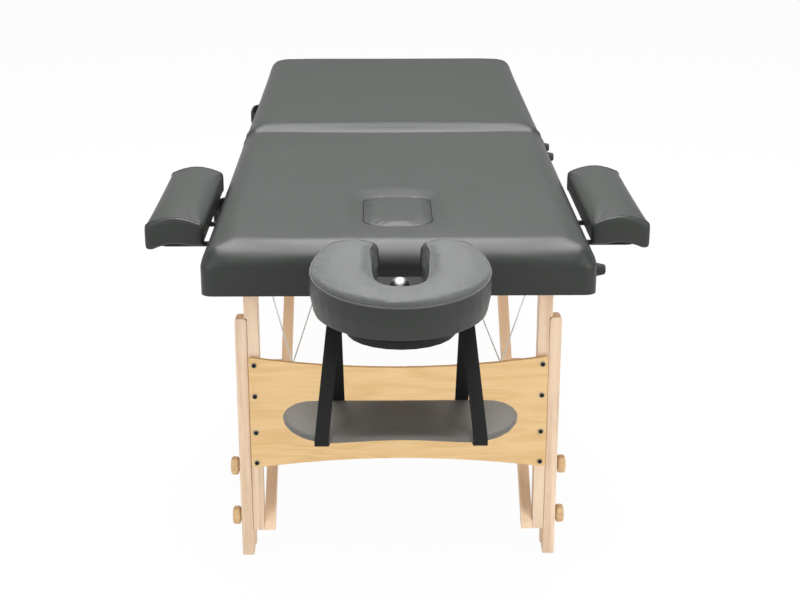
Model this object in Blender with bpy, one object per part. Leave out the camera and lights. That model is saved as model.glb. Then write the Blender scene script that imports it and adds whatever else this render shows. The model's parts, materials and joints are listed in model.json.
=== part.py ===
"""Folding massage table with a face cradle, an arm sling, two armrests and a face-hole plug.

Axes: +X to the right as seen from the head end, +Y towards the foot end, +Z up, in metres.
A place along the table is given as its reach, the distance from the fold line, so one number
serves both halves: the head half lies on the -Y side of the fold and the foot half on the +Y side.
The origin is on the floor under the middle of the whole footprint.
"""
import math

import bmesh
import bpy
from mathutils import Vector

# Overall sizes
HALF_LENGTH = 0.93
TABLE_WIDTH = 0.68
TOP_HEIGHT = 0.63

# Clearances
SEAT_GAP = 0.0003
PIN_GAP = 0.0004
LINK_GAP = 0.0005
FOLD_GAP = 0.0002

# Section of one half, from the top down
PAD_THICKNESS = 0.040
DECK_THICKNESS = 0.004
TRAY_DEPTH = 0.046
COVER_THICKNESS = 0.0015

# Tray frame
SIDE_RAIL = 0.0265
END_RAIL = 0.020
CENTRE_RAIL = 0.022
RAIL_CHAMFER = 0.0015

# Pad forms
PAD_CORNER = 0.020
PAD_EDGE_ROUND = 0.015
PAD_CROWN = 0.006
PAD_DRAW_IN = 0.002
PAD_FOOT_INSET = 0.003
PAD_CROWN_INSETS = (0.02, 0.06, 0.12, 0.20)

# Face hole and its plug
FACE_HOLE_END_DISTANCE = 0.240
FACE_HOLE_WIDTH = 0.126
FACE_HOLE_LENGTH = 0.200
FACE_HOLE_CORNER = 0.045
PLUG_GAP = 0.0005
PLUG_FOOT_INSET = 0.0015
PLUG_SINK = 0.004
PLUG_CROWN = 0.004
PLUG_EDGE_ROUND = 0.010
PLUG_CROWN_INSETS = (0.012, 0.03)

# Fold hinge
HINGE_LENGTH = 0.50
HINGE_LEAF_WIDTH = 0.020
HINGE_LEAF_THICKNESS = 0.0012
HINGE_BARREL_RADIUS = 0.0027
HINGE_PIN_RADIUS = 0.0013
HINGE_KNUCKLES = 9
HINGE_KNUCKLE_GAP = 0.0006
HINGE_LEAF_OVERLAP = 0.0008

# Legs
LEG_END_DISTANCE = 0.099
LEG_INNER_X = 0.250
LEG_WIDTH = 0.025
LEG_DEPTH = 0.030
LEG_FOOT_HEIGHT = 0.052
LEG_PIVOT_BELOW_DECK = 0.0195
LEG_AXLE_RADIUS = 0.005
LEG_AXLE_SEAT = 0.012

# Leg extensions, which slide in a rabbet on the outer side of the legs
RABBET_DEPTH = 0.005
EXTENSION_WIDTH = 0.0215
EXTENSION_TOP_HEIGHT = 0.470
EXTENSION_CORNER = 0.006
TONGUE_WIDTH = 0.016
TONGUE_DEPTH = 0.004
TONGUE_END_HEIGHT = 0.018
EXTENSION_TRAVEL = 0.180

# Clamp knobs
KNOB_LOW_HEIGHT = 0.0765
KNOB_HIGH_HEIGHT = 0.1777
KNOB_RADIUS = 0.0170
KNOB_LOBES = 6
KNOB_LOBE_DEPTH = 0.0012
KNOB_THICKNESS = 0.0145
KNOB_EASE = 0.003
KNOB_HUB_RADIUS = 0.010
KNOB_HUB_LENGTH = 0.0017
KNOB_STUD_RADIUS = 0.004
KNOB_STUD_INSET = 0.006

# End panels
PANEL_HALF_WIDTH = 0.2692
PANEL_THICKNESS = 0.008
PANEL_TOP = 0.3995
PANEL_TOP_DIP = 0.0205
PANEL_BOTTOM = 0.1823
PANEL_BOTTOM_RISE = 0.0190
PANEL_CHAMFER = 0.001
PANEL_CORNER = 0.006
PANEL_EDGE_STEPS = 12

# Folding braces
BRACE_WIDTH = 0.020
BRACE_DEPTH = 0.020
BRACE_LEG_HEIGHT = 0.066
BRACE_TOP_DISTANCE = 0.190
BRACE_TOP_LIFT = 0.004
BRACE_BORE_RADIUS = 0.004
BRACE_RAIL_WIDTH = 0.026
BRACE_RAIL_CLEAR = 0.016

# Tension cables
CABLE_RADIUS = 0.0014
CABLE_ANCHOR_X = 0.2175
CABLE_ANCHOR_IN = 0.010
CABLE_FOLD_X = 0.186
CABLE_FOLD_HEIGHT = 0.228

# Carry handles on the left side
HANDLE_LENGTH = 0.180
HANDLE_HEIGHT = 0.025
HANDLE_PROUD = 0.022
HANDLE_BAND = 0.005
HANDLE_PAD_LENGTH = 0.022
HANDLE_ROD_DISTANCE = 0.035
HANDLE_ABOVE_RIM = 0.0225

# Rubber feet on the right side
FOOT_BASE_RADIUS = 0.0125
FOOT_TIP_RADIUS = 0.009
FOOT_PROUD = 0.0205
FOOT_EASE = 0.002
FOOT_ABOVE_RIM = 0.031
FOOT_END_IN = 0.050
FOOT_FOLD_DISTANCE = 0.047

# Armrests
ARMREST_GAP = 0.0105
ARMREST_WIDTH = 0.115
ARMREST_LENGTH = 0.390
ARMREST_END_DISTANCE = 0.365
ARMREST_SIDE_HEIGHT = 0.036
ARMREST_SHOULDER = 0.010
ARMREST_DOME = 0.010
ARMREST_HEM = 0.012
ARMREST_HOLLOW = 0.009
ARMREST_FOOT_ROUND = 0.003
ARMREST_END_ROUND = 0.006
ARMREST_ROD_RADIUS = 0.005
ARMREST_ROD_END_DISTANCE = 0.275
ARMREST_ROD_SPACING = 0.130
ARMREST_ROD_ABOVE_RIM = 0.032
ARMREST_ROD_SHORT = 0.0015
ARMREST_BAR_IN = 0.030
ARMREST_BEND = 0.014

# Face cradle
CRADLE_ROD_X = 0.0825
CRADLE_ROD_RADIUS = 0.006
CRADLE_ROD_ABOVE_RIM = 0.0125
CRADLE_ROD_CLEAR = 0.004
CRADLE_AXIS_OUT = 0.045
CRADLE_BEND = 0.010
CRADLE_TILT = math.radians(3.0)
CRADLE_PLATE_HALF_WIDTH = 0.086
CRADLE_PLATE_NEAR = 0.028
CRADLE_PLATE_FAR = 0.305
CRADLE_PLATE_BOW = 0.075
CRADLE_LIP_DROP = 0.008
CRADLE_LIP_WALL = 0.004
CRADLE_PLATE_THICKNESS = 0.005
CRADLE_PLATE_RISE = 0.0265
CRADLE_PLATE_CORNER = 0.025
CRADLE_LUG_X = 0.050
CRADLE_LUG_WIDTH = 0.012
CRADLE_LUG_WALL = 0.004
SLING_BAR_OUT = 0.181
SLING_BAR_RADIUS = 0.006
SLING_BAR_DROP = 0.008
SLING_BAR_HALF_LENGTH = 0.120
SLING_LUG_X = 0.074
CLAMP_OUT = 0.090
CLAMP_RADIUS = 0.0178
CLAMP_HEIGHT = 0.010
CLAMP_RIM_HEIGHT = 0.003

# Face cradle cushion: a horseshoe tube, open towards the table
CUSHION_NEAR = 0.030
CUSHION_FAR = 0.318
CUSHION_HALF_WIDTH = 0.147
CUSHION_ARM_WIDTH = 0.108
CUSHION_FRONT_WIDTH = 0.070
CUSHION_THICKNESS = 0.079
CUSHION_EDGE_ROUND = 0.011
CUSHION_CROWN = 0.004
CUSHION_FOOT_INSET = 0.006
CUSHION_CROWN_INSETS = (0.018,)
CUSHION_OUTER_TOE_IN = 0.040
CUSHION_INNER_TOE_IN = 0.009
CUSHION_SLOT_SQUARENESS = 0.72
CUSHION_END_ROUND = 0.032
CUSHION_BEND_STEPS = 18
CUSHION_ARM_STEPS = 4
CUSHION_END_STEPS = 4

# Arm sling
SHELF_HALF_WIDTH = 0.195
SHELF_DEPTH = 0.162
SHELF_TOP_HEIGHT = 0.395
SHELF_THICKNESS = 0.015
SHELF_EDGE_ROUND = 0.006
SHELF_CROWN = 0.002
SHELF_CROWN_INSETS = (0.012, 0.028)
SHELF_FRONT_DIP = 0.012
SHELF_END_ROUND = 0.060
STRAP_WIDTH = 0.028
STRAP_THICKNESS = 0.002
STRAP_TOP_X = 0.101
STRAP_SHELF_X = 0.117

# Heights and stations that follow from the sizes above
RIM_HEIGHT = TOP_HEIGHT - PAD_THICKNESS - DECK_THICKNESS - TRAY_DEPTH
DECK_HEIGHT = RIM_HEIGHT + TRAY_DEPTH
PAD_HEIGHT = DECK_HEIGHT + DECK_THICKNESS
HINGE_AXIS_HEIGHT = RIM_HEIGHT - SEAT_GAP - HINGE_BARREL_RADIUS
FRAME_HALF_WIDTH = TABLE_WIDTH / 2 - COVER_THICKNESS
FRAME_INNER_X = FRAME_HALF_WIDTH - SIDE_RAIL
FRAME_END_REACH = HALF_LENGTH - COVER_THICKNESS
FRAME_CORNER = PAD_CORNER
LEG_REACH = HALF_LENGTH - LEG_END_DISTANCE
FACE_HOLE_REACH = HALF_LENGTH - FACE_HOLE_END_DISTANCE
ARMREST_REACH = HALF_LENGTH - ARMREST_END_DISTANCE
ARMREST_ROD_REACH = HALF_LENGTH - ARMREST_ROD_END_DISTANCE
HANDLE_REACH = ARMREST_ROD_REACH - ARMREST_ROD_SPACING / 2 - HANDLE_ROD_DISTANCE - HANDLE_LENGTH / 2
KNOB_HEIGHTS = (KNOB_LOW_HEIGHT, KNOB_HIGH_HEIGHT)
LEG_OUTER_X = LEG_INNER_X + LEG_WIDTH
RABBET_X = LEG_OUTER_X - RABBET_DEPTH
EXTENSION_INNER_X = RABBET_X + LINK_GAP
EXTENSION_OUTER_X = EXTENSION_INNER_X + EXTENSION_WIDTH
LEG_PIVOT_HEIGHT = DECK_HEIGHT - LEG_PIVOT_BELOW_DECK
LOWER_LINK_OUTER_X = LEG_INNER_X - LINK_GAP
UPPER_LINK_OUTER_X = LOWER_LINK_OUTER_X - BRACE_WIDTH - LINK_GAP
UPPER_LINK_INNER_X = UPPER_LINK_OUTER_X - BRACE_WIDTH
BRACE_TOP_HEIGHT = LEG_PIVOT_HEIGHT + BRACE_TOP_LIFT
CRADLE_AXIS_REACH = HALF_LENGTH + CRADLE_AXIS_OUT
CRADLE_AXIS_HEIGHT = RIM_HEIGHT + CRADLE_ROD_ABOVE_RIM
CRADLE_PLATE_HEIGHT = CRADLE_AXIS_HEIGHT + CRADLE_PLATE_RISE

HEAD = -1
FOOT = 1
END_NAMES = {HEAD: "head", FOOT: "foot"}
LEFT = -1
RIGHT = 1
SIDE_NAMES = {LEFT: "left", RIGHT: "right"}
CIRCLE_SIDES = 16


def clear_scene():
    """Start from an empty scene."""
    for item in list(bpy.data.objects):
        bpy.data.objects.remove(item, do_unlink=True)


def make_material(name, colour, roughness, metallic=0.0):
    """One plain finish."""
    finish = bpy.data.materials.new(name)
    finish.use_nodes = True
    shader = finish.node_tree.nodes["Principled BSDF"]
    shader.inputs["Base Color"].default_value = (*colour, 1.0)
    shader.inputs["Roughness"].default_value = roughness
    shader.inputs["Metallic"].default_value = metallic
    return finish


def make_pivot(name, parent, at=(0.0, 0.0, 0.0), turn_x=0.0):
    """An empty that carries the pieces of one moving body, on the axis that the body moves about."""
    pivot = bpy.data.objects.new(name, None)
    bpy.context.scene.collection.objects.link(pivot)
    pivot.parent = parent
    pivot.location = at
    pivot.rotation_euler = (turn_x, 0.0, 0.0)
    return pivot


def make_object(name, mesh, pivot):
    """Hang a finished mesh on its pivot, with the mesh's points measured from the pivot."""
    bmesh.ops.recalc_face_normals(mesh, faces=mesh.faces)
    bmesh.ops.translate(mesh, verts=mesh.verts, vec=-pivot.location)
    data = bpy.data.meshes.new(name)
    mesh.to_mesh(data)
    mesh.free()
    item = bpy.data.objects.new(name, data)
    bpy.context.scene.collection.objects.link(item)
    item.parent = pivot
    return item


def add_part(name, mesh, finish, pivot, smooth_degrees=None):
    """Make one named piece of the table."""
    part = make_object(name, mesh, pivot)
    part.data.materials.append(finish)
    if smooth_degrees is not None:
        part.data.shade_smooth()
        part.data.set_sharp_from_angle(angle=math.radians(smooth_degrees))
    return part


def combine(part, mesh, operation):
    """Cut a tool shape out of a part, or join it on."""
    tool = make_object(part.name + "_tool", mesh, part.parent)
    tool.hide_render = True
    tool.display_type = "WIRE"
    modifier = part.modifiers.new(operation.lower(), "BOOLEAN")
    modifier.operation = operation
    modifier.solver = "EXACT"
    modifier.object = tool


def add_rings(mesh, loops):
    """Skin neighbouring loops of equal length with faces and return the rings of points."""
    rings = [[mesh.verts.new(point) for point in loop] for loop in loops]
    for near, far in zip(rings, rings[1:]):
        skin(mesh, near, far)
    return rings


def skin(mesh, near, far):
    """Faces between two rings of points."""
    count = len(near)
    for i in range(count):
        j = (i + 1) % count
        mesh.faces.new((near[i], near[j], far[j], far[i]))


def loft(loops, into=None):
    """A closed body through a row of loops, capped at both ends."""
    mesh = into or bmesh.new()
    rings = add_rings(mesh, loops)
    mesh.faces.new(list(reversed(rings[0])))
    mesh.faces.new(rings[-1])
    return mesh


def ring_body(loops):
    """A closed ring-shaped body through loops that come round to the first one."""
    mesh = bmesh.new()
    rings = add_rings(mesh, loops)
    skin(mesh, rings[-1], rings[0])
    return mesh


def on_axis(axis, u, v, along):
    """A point of an outline (u, v) at a distance along the axis that the outline is drawn out on."""
    if axis == "x":
        return (along, u, v)
    if axis == "y":
        return (u, along, v)
    return (u, v, along)


def prism(outline, low, high, axis, into=None):
    """An outline drawn out along an axis."""
    loops = [[on_axis(axis, u, v, along) for u, v in outline] for along in (low, high)]
    return loft(loops, into)


def ring_prism(outer, inner, low, high, axis):
    """The space between two outlines drawn out along an axis."""
    order = ((outer, low), (outer, high), (inner, high), (inner, low))
    return ring_body([[on_axis(axis, u, v, along) for u, v in line] for line, along in order])


def circle(centre, radius, sides=CIRCLE_SIDES):
    """Points of a circle."""
    turns = [2 * math.pi * i / sides for i in range(sides)]
    return [(centre[0] + radius * math.cos(t), centre[1] + radius * math.sin(t)) for t in turns]


def turned(profile, centre, axis, sides=CIRCLE_SIDES, into=None):
    """A turned piece from a profile of (along, radius) pairs."""
    loops = []
    for along, radius in profile:
        loops.append([on_axis(axis, u, v, along) for u, v in circle(centre, radius, sides)])
    return loft(loops, into)


def box_outline(low_u, high_u, low_v, high_v):
    """Corners of an upright rectangle."""
    return [(low_u, low_v), (high_u, low_v), (high_u, high_v), (low_u, high_v)]


def stadium(start, end, radius, steps=6):
    """Outline of a bar with round ends between two points."""
    heading = math.atan2(end[1] - start[1], end[0] - start[0])
    points = []
    for centre, offset in ((end, -math.pi / 2), (start, math.pi / 2)):
        for i in range(steps + 1):
            turn = heading + offset + math.pi * i / steps
            points.append((centre[0] + radius * math.cos(turn), centre[1] + radius * math.sin(turn)))
    return points


def rounded_rectangle(half_u, half_v, corner, draw_in=0.0, corner_steps=4, edge_steps=5):
    """Outline with round corners, whose edges may be drawn in between the corners."""
    spans = (
        (half_u, half_v, 0.0), (-half_u, half_v, 0.5), (-half_u, -half_v, 1.0), (half_u, -half_v, 1.5))
    arcs = []
    for reach_u, reach_v, turn in spans:
        centre_u = reach_u - math.copysign(corner, reach_u)
        centre_v = reach_v - math.copysign(corner, reach_v)
        arc = []
        for i in range(corner_steps + 1):
            angle = math.pi * (turn + 0.5 * i / corner_steps)
            arc.append((centre_u + corner * math.cos(angle), centre_v + corner * math.sin(angle)))
        arcs.append(arc)
    points = []
    for k, arc in enumerate(arcs):
        points.extend(arc)
        start = Vector(arc[-1])
        end = Vector(arcs[(k + 1) % len(arcs)][0])
        inward = Vector((-(end - start).y, (end - start).x)).normalized()
        for i in range(1, edge_steps):
            share = i / edge_steps
            bow = draw_in * 4 * share * (1 - share)
            points.append(tuple(start.lerp(end, share) + inward * bow))
    return points


def eased_corners(outline, places, radius, steps=2):
    """Round off some corners of an outline."""
    count = len(outline)
    rounded = {place % count for place in places}
    points = []
    for i, point in enumerate(outline):
        if i not in rounded:
            points.append(point)
            continue
        corner = Vector(point)
        before = (Vector(outline[i - 1]) - corner).normalized() * radius
        after = (Vector(outline[(i + 1) % count]) - corner).normalized() * radius
        for k in range(steps + 1):
            share = k / steps
            points.append(tuple(corner + before * (1 - share) ** 2 + after * share ** 2))
    return points


def cushion(outline_at, levels, centre):
    """A padded body: outlines that step inwards at rising heights."""
    loops = []
    for inset, height in levels:
        loops.append([(centre[0] + u, centre[1] + v, height) for u, v in outline_at(inset)])
    return loft(loops)


def rectangle_outlines(width, length, corner, draw_in=0.0, **steps):
    """Outlines of a rounded rectangle for each inset, keeping the corners round."""
    least_corner = corner / 4

    def outline_at(inset):
        radius = max(corner - inset, least_corner)
        return rounded_rectangle(width / 2 - inset, length / 2 - inset, radius, draw_in, **steps)

    return outline_at


def crowned_levels(base, thickness, foot_inset, edge_round, crown, crown_insets, round_steps=4):
    """Insets and heights of a pad: drawn-in foot, upright side, rolled edge and crown."""
    shoulder = base + thickness - crown
    levels = [(foot_inset, base), (0.0, base + (thickness - crown - edge_round) / 2)]
    for i in range(round_steps + 1):
        turn = 0.5 * math.pi * i / round_steps
        inset = edge_round * (1 - math.cos(turn))
        levels.append((inset, shoulder - edge_round * (1 - math.sin(turn))))
    steps = len(crown_insets)
    for i, inset in enumerate(crown_insets):
        share = (i + 1) / steps
        levels.append((edge_round + inset, shoulder + crown * math.sin(share * math.pi / 2)))
    return levels


def tube(path, radius, sides=10):
    """A round bar along a path of points."""
    points = [Vector(point) for point in path]
    loops = []
    side = None
    for i, point in enumerate(points):
        before = points[max(i - 1, 0)]
        after = points[min(i + 1, len(points) - 1)]
        heading = (after - before).normalized()
        if side is None:
            side = heading.orthogonal().normalized()
        side = (side - heading * side.dot(heading)).normalized()
        lift = heading.cross(side)
        turns = [2 * math.pi * k / sides for k in range(sides)]
        loops.append([point + radius * (side * math.cos(t) + lift * math.sin(t)) for t in turns])
    return loft(loops)


def bent_u(end_a, corner_a, corner_b, end_b, bend, steps=5):
    """Path of a U-shaped rod with two round bends."""
    def arc(before, corner, after):
        corner = Vector(corner)
        into = (Vector(before) - corner).normalized() * bend
        out = (Vector(after) - corner).normalized() * bend
        centre = corner + into + out
        points = []
        for i in range(steps + 1):
            turn = 0.5 * math.pi * i / steps
            points.append(centre - out * math.cos(turn) - into * math.sin(turn))
        return points

    return [end_a] + arc(end_a, corner_a, corner_b) + arc(corner_a, corner_b, end_b) + [end_b]


def ease_edges(mesh, width, segments=1):
    """Chamfer the sharp edges of a wooden or metal piece."""
    sharp = [edge for edge in mesh.edges if edge.calc_face_angle(0.0) > math.radians(40)]
    bmesh.ops.bevel(mesh, geom=sharp, offset=width, segments=segments, profile=0.5, affect="EDGES")
    return mesh


def mirrored_x(side, low, high):
    """Span on the left or the right of the table's middle line."""
    return (low, high) if side == RIGHT else (-high, -low)


def build_frame(end, finish, pivot):
    """Wooden tray frame of one half, with bores for the axle and for what plugs in."""
    name = END_NAMES[end]

    def outline(half_width, near, far, corner):
        corners = box_outline(-half_width, half_width, *sorted((end * near, end * far)))
        return eased_corners(corners, range(4), corner, 4)

    outer = outline(FRAME_HALF_WIDTH, FOLD_GAP, FRAME_END_REACH, FRAME_CORNER)
    inner = outline(FRAME_INNER_X, FOLD_GAP + CENTRE_RAIL, FRAME_END_REACH - END_RAIL, FRAME_CORNER / 4)
    body = ring_prism(outer, inner, RIM_HEIGHT, DECK_HEIGHT - SEAT_GAP, "z")
    frame = add_part(name + "_frame", ease_edges(body, RAIL_CHAMFER), finish, pivot)
    bores = bmesh.new()
    axle_end = FRAME_INNER_X + LEG_AXLE_SEAT + PIN_GAP
    axle_centre = (end * LEG_REACH, LEG_PIVOT_HEIGHT)
    prism(circle(axle_centre, LEG_AXLE_RADIUS + PIN_GAP), -axle_end, axle_end, "x", bores)
    if end == HEAD:
        reaches = [ARMREST_ROD_REACH + way * ARMREST_ROD_SPACING / 2 for way in (-1, 1)]
        for reach in reaches:
            centre = (end * reach, RIM_HEIGHT + ARMREST_ROD_ABOVE_RIM)
            prism(circle(centre, ARMREST_ROD_RADIUS + PIN_GAP), -TABLE_WIDTH, TABLE_WIDTH, "x", bores)
        span = sorted((end * (FRAME_END_REACH - 2 * END_RAIL), end * (FRAME_END_REACH + END_RAIL)))
        for side in (LEFT, RIGHT):
            centre = (side * CRADLE_ROD_X, CRADLE_AXIS_HEIGHT)
            prism(circle(centre, CRADLE_ROD_RADIUS + PIN_GAP), *span, "y", bores)
    combine(frame, bores, "DIFFERENCE")


def face_hole_outlines(margin):
    """Outlines of the face hole, widened by a margin."""
    return rectangle_outlines(
        FACE_HOLE_WIDTH + 2 * margin, FACE_HOLE_LENGTH + 2 * margin, FACE_HOLE_CORNER, edge_steps=3)


def face_hole_tool(low, high):
    """Tool that opens the face hole through a sheet or a pad."""
    outline = face_hole_outlines(PLUG_GAP)(0.0)
    centre = HEAD * FACE_HOLE_REACH
    return prism([(u, centre + v) for u, v in outline], low, high, "z")


def build_deck(end, finish, pivot):
    """Plywood deck on the frame of one half."""
    corners = box_outline(
        -FRAME_HALF_WIDTH, FRAME_HALF_WIDTH, *sorted((end * FOLD_GAP, end * FRAME_END_REACH)))
    outline = eased_corners(corners, range(4), FRAME_CORNER, 4)
    body = prism(outline, DECK_HEIGHT, PAD_HEIGHT - SEAT_GAP, "z")
    deck = add_part(END_NAMES[end] + "_deck", body, finish, pivot)
    if end == HEAD:
        combine(deck, face_hole_tool(RIM_HEIGHT, TOP_HEIGHT), "DIFFERENCE")


def build_pad(end, finish, pivot):
    """Upholstered pad of one half: crowned top, rolled edges, sides drawn in between the corners."""
    length = HALF_LENGTH - FOLD_GAP
    centre = (0.0, end * (FOLD_GAP + length / 2))
    outline_at = rectangle_outlines(TABLE_WIDTH, length, PAD_CORNER, PAD_DRAW_IN)
    levels = crowned_levels(
        PAD_HEIGHT, PAD_THICKNESS, PAD_FOOT_INSET, PAD_EDGE_ROUND, PAD_CROWN, PAD_CROWN_INSETS)
    pad = add_part(END_NAMES[end] + "_pad", cushion(outline_at, levels, centre), finish, pivot, 50)
    if end == HEAD:
        combine(pad, face_hole_tool(DECK_HEIGHT, TOP_HEIGHT + PAD_THICKNESS), "DIFFERENCE")


def build_plug(finish, pivot):
    """Cushion that closes the face hole, resting a little below the pad."""
    outline_at = face_hole_outlines(0.0)
    thickness = TOP_HEIGHT - PLUG_SINK - DECK_HEIGHT
    levels = crowned_levels(
        DECK_HEIGHT, thickness, PLUG_FOOT_INSET, PLUG_EDGE_ROUND, PLUG_CROWN, PLUG_CROWN_INSETS)
    body = cushion(outline_at, levels, (0.0, HEAD * FACE_HOLE_REACH))
    add_part("face_plug", body, finish, pivot, 50)


def hinge_stations():
    """Start and end of each knuckle along the fold hinge."""
    pitch = HINGE_LENGTH / HINGE_KNUCKLES
    starts = [-HINGE_LENGTH / 2 + pitch * i for i in range(HINGE_KNUCKLES)]
    return [(start, start + pitch) for start in starts]


def build_hinge_leaf(end, finish, pivot):
    """One leaf of the fold hinge: a comb-edged plate with every other knuckle."""
    own_edge = end * HINGE_LEAF_OVERLAP
    other_edge = end * (HINGE_BARREL_RADIUS + PIN_GAP)
    far_edge = end * HINGE_LEAF_WIDTH
    first_knuckle = 0 if end == HEAD else 1
    knuckles = bmesh.new()
    comb = []
    for i, (start, stop) in enumerate(hinge_stations()):
        owned = i % 2 == first_knuckle
        edge = own_edge if owned else other_edge
        trim = HINGE_KNUCKLE_GAP / 2 if owned else -HINGE_KNUCKLE_GAP / 2
        low = start if i == 0 else start + trim
        high = stop if i == HINGE_KNUCKLES - 1 else stop - trim
        comb.extend([(low, edge), (high, edge)])
        if owned:
            axis_point = (0.0, HINGE_AXIS_HEIGHT)
            prism(circle(axis_point, HINGE_BARREL_RADIUS, 12), low, high, "x", knuckles)
    outline = comb + [(HINGE_LENGTH / 2, far_edge), (-HINGE_LENGTH / 2, far_edge)]
    top = RIM_HEIGHT - SEAT_GAP
    leaf = add_part(
        "fold_hinge_%s_leaf" % END_NAMES[end], prism(outline, top - HINGE_LEAF_THICKNESS, top, "z"),
        finish, pivot)
    combine(leaf, knuckles, "UNION")
    bore = circle((0.0, HINGE_AXIS_HEIGHT), HINGE_PIN_RADIUS + PIN_GAP, 12)
    combine(leaf, prism(bore, -HINGE_LENGTH, HINGE_LENGTH, "x"), "DIFFERENCE")


def build_hinge_pin(finish, pivot):
    """Pin through all the knuckles of the fold hinge."""
    outline = circle((0.0, HINGE_AXIS_HEIGHT), HINGE_PIN_RADIUS, 12)
    body = prism(outline, -HINGE_LENGTH / 2, HINGE_LENGTH / 2, "x")
    add_part("fold_hinge_pin", body, finish, pivot, 50)


def build_leg_axle(end, finish, pivot):
    """Steel rod that both legs of one half turn on, seated in the side rails."""
    reach_x = FRAME_INNER_X + LEG_AXLE_SEAT
    outline = circle((end * LEG_REACH, LEG_PIVOT_HEIGHT), LEG_AXLE_RADIUS)
    add_part(END_NAMES[end] + "_leg_axle", prism(outline, -reach_x, reach_x, "x"), finish, pivot, 50)


def build_leg(end, side, finish, pivot):
    """Upper leg: a bar with a round top, and a grooved rabbet for its extension on the outer side."""
    middle = end * LEG_REACH
    half = LEG_DEPTH / 2
    profile = [(middle - half, LEG_FOOT_HEIGHT), (middle + half, LEG_FOOT_HEIGHT)]
    arc_steps = 8
    for i in range(arc_steps + 1):
        turn = math.pi * i / arc_steps
        profile.append((middle + half * math.cos(turn), LEG_PIVOT_HEIGHT + half * math.sin(turn)))
    body = prism(profile, *mirrored_x(side, LEG_INNER_X, LEG_OUTER_X), "x")
    name = "%s_leg_%s" % (END_NAMES[end], SIDE_NAMES[side])
    leg = add_part(name, body, finish, pivot, 40)
    groove_x = RABBET_X - TONGUE_DEPTH - LINK_GAP
    groove_half = TONGUE_WIDTH / 2 + LINK_GAP
    past_x = LEG_OUTER_X + LEG_WIDTH
    section = [
        (past_x, middle - LEG_DEPTH), (past_x, middle + LEG_DEPTH),
        (RABBET_X, middle + LEG_DEPTH), (RABBET_X, middle + groove_half),
        (groove_x, middle + groove_half), (groove_x, middle - groove_half),
        (RABBET_X, middle - groove_half), (RABBET_X, middle - LEG_DEPTH)]
    shoulder = EXTENSION_TOP_HEIGHT + LINK_GAP
    rabbet = prism([(side * x, y) for x, y in section], LEG_FOOT_HEIGHT - LEG_DEPTH, shoulder, "z")
    combine(leg, rabbet, "DIFFERENCE")
    bores = bmesh.new()
    axle = circle((middle, LEG_PIVOT_HEIGHT), LEG_AXLE_RADIUS + PIN_GAP)
    prism(axle, *mirrored_x(side, LEG_INNER_X - LEG_WIDTH, past_x), "x", bores)
    stud_end = LEG_INNER_X + KNOB_STUD_INSET - LINK_GAP
    for height in KNOB_HEIGHTS:
        stud = circle((middle, height), KNOB_STUD_RADIUS + PIN_GAP, 12)
        prism(stud, *mirrored_x(side, stud_end, past_x), "x", bores)
    combine(leg, bores, "DIFFERENCE")


def build_extension(end, side, finish, pivot):
    """Leg extension: a tongued bar with round top corners and a long slot for the clamp studs."""
    middle = end * LEG_REACH
    half = LEG_DEPTH / 2
    corner = EXTENSION_CORNER
    steps = 4
    front = [(EXTENSION_INNER_X, 0.0), (EXTENSION_OUTER_X, 0.0)]
    for centre_x, start in ((EXTENSION_OUTER_X - corner, 0.0), (EXTENSION_INNER_X + corner, 0.5)):
        for i in range(steps + 1):
            turn = math.pi * (start + 0.5 * i / steps)
            top = EXTENSION_TOP_HEIGHT - corner
            front.append((centre_x + corner * math.cos(turn), top + corner * math.sin(turn)))
    body = prism([(side * x, z) for x, z in front], middle - half, middle + half, "y")
    name = "%s_extension_%s" % (END_NAMES[end], SIDE_NAMES[side])
    extension = add_part(name, body, finish, pivot, 40)
    tongue_tip = RABBET_X - TONGUE_DEPTH
    tongue = box_outline(
        *sorted((side * tongue_tip, side * (EXTENSION_INNER_X + corner))),
        middle - TONGUE_WIDTH / 2, middle + TONGUE_WIDTH / 2)
    combine(extension, prism(tongue, TONGUE_END_HEIGHT, EXTENSION_TOP_HEIGHT - corner, "z"), "UNION")
    slot_low = min(KNOB_HEIGHTS)
    slot_high = max(KNOB_HEIGHTS) + EXTENSION_TRAVEL
    slot = stadium((middle, slot_low), (middle, slot_high), KNOB_STUD_RADIUS + PIN_GAP)
    slot_span = mirrored_x(side, tongue_tip - LEG_WIDTH, EXTENSION_OUTER_X + LEG_WIDTH)
    combine(extension, prism(slot, *slot_span, "x"), "DIFFERENCE")


def build_knob(end, side, place, height, finish, pivot):
    """Lobed clamp knob with its hub and stud."""
    middle = end * LEG_REACH
    hub_x = EXTENSION_OUTER_X + SEAT_GAP
    inner_x = hub_x + KNOB_HUB_LENGTH
    outer_x = inner_x + KNOB_THICKNESS
    sides = 4 * KNOB_LOBES

    def lobed(radius, x, lobe_depth):
        loop = []
        for i in range(sides):
            turn = 2 * math.pi * i / sides
            grip = radius + lobe_depth * (math.cos(KNOB_LOBES * turn) - 1)
            loop.append((side * x, middle + grip * math.cos(turn), height + grip * math.sin(turn)))
        return loop

    stud_end = LEG_INNER_X + KNOB_STUD_INSET
    loops = [
        lobed(KNOB_STUD_RADIUS, stud_end, 0.0),
        lobed(KNOB_STUD_RADIUS, hub_x, 0.0),
        lobed(KNOB_HUB_RADIUS, hub_x, 0.0),
        lobed(KNOB_HUB_RADIUS, inner_x, 0.0),
        lobed(KNOB_RADIUS - KNOB_EASE, inner_x, KNOB_LOBE_DEPTH),
        lobed(KNOB_RADIUS, inner_x + KNOB_EASE, KNOB_LOBE_DEPTH),
        lobed(KNOB_RADIUS, outer_x - KNOB_EASE, KNOB_LOBE_DEPTH),
        lobed(KNOB_RADIUS - KNOB_EASE, outer_x, KNOB_LOBE_DEPTH)]
    name = "%s_knob_%s_%s" % (END_NAMES[end], SIDE_NAMES[side], place)
    add_part(name, loft(loops), finish, pivot, 50)


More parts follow.
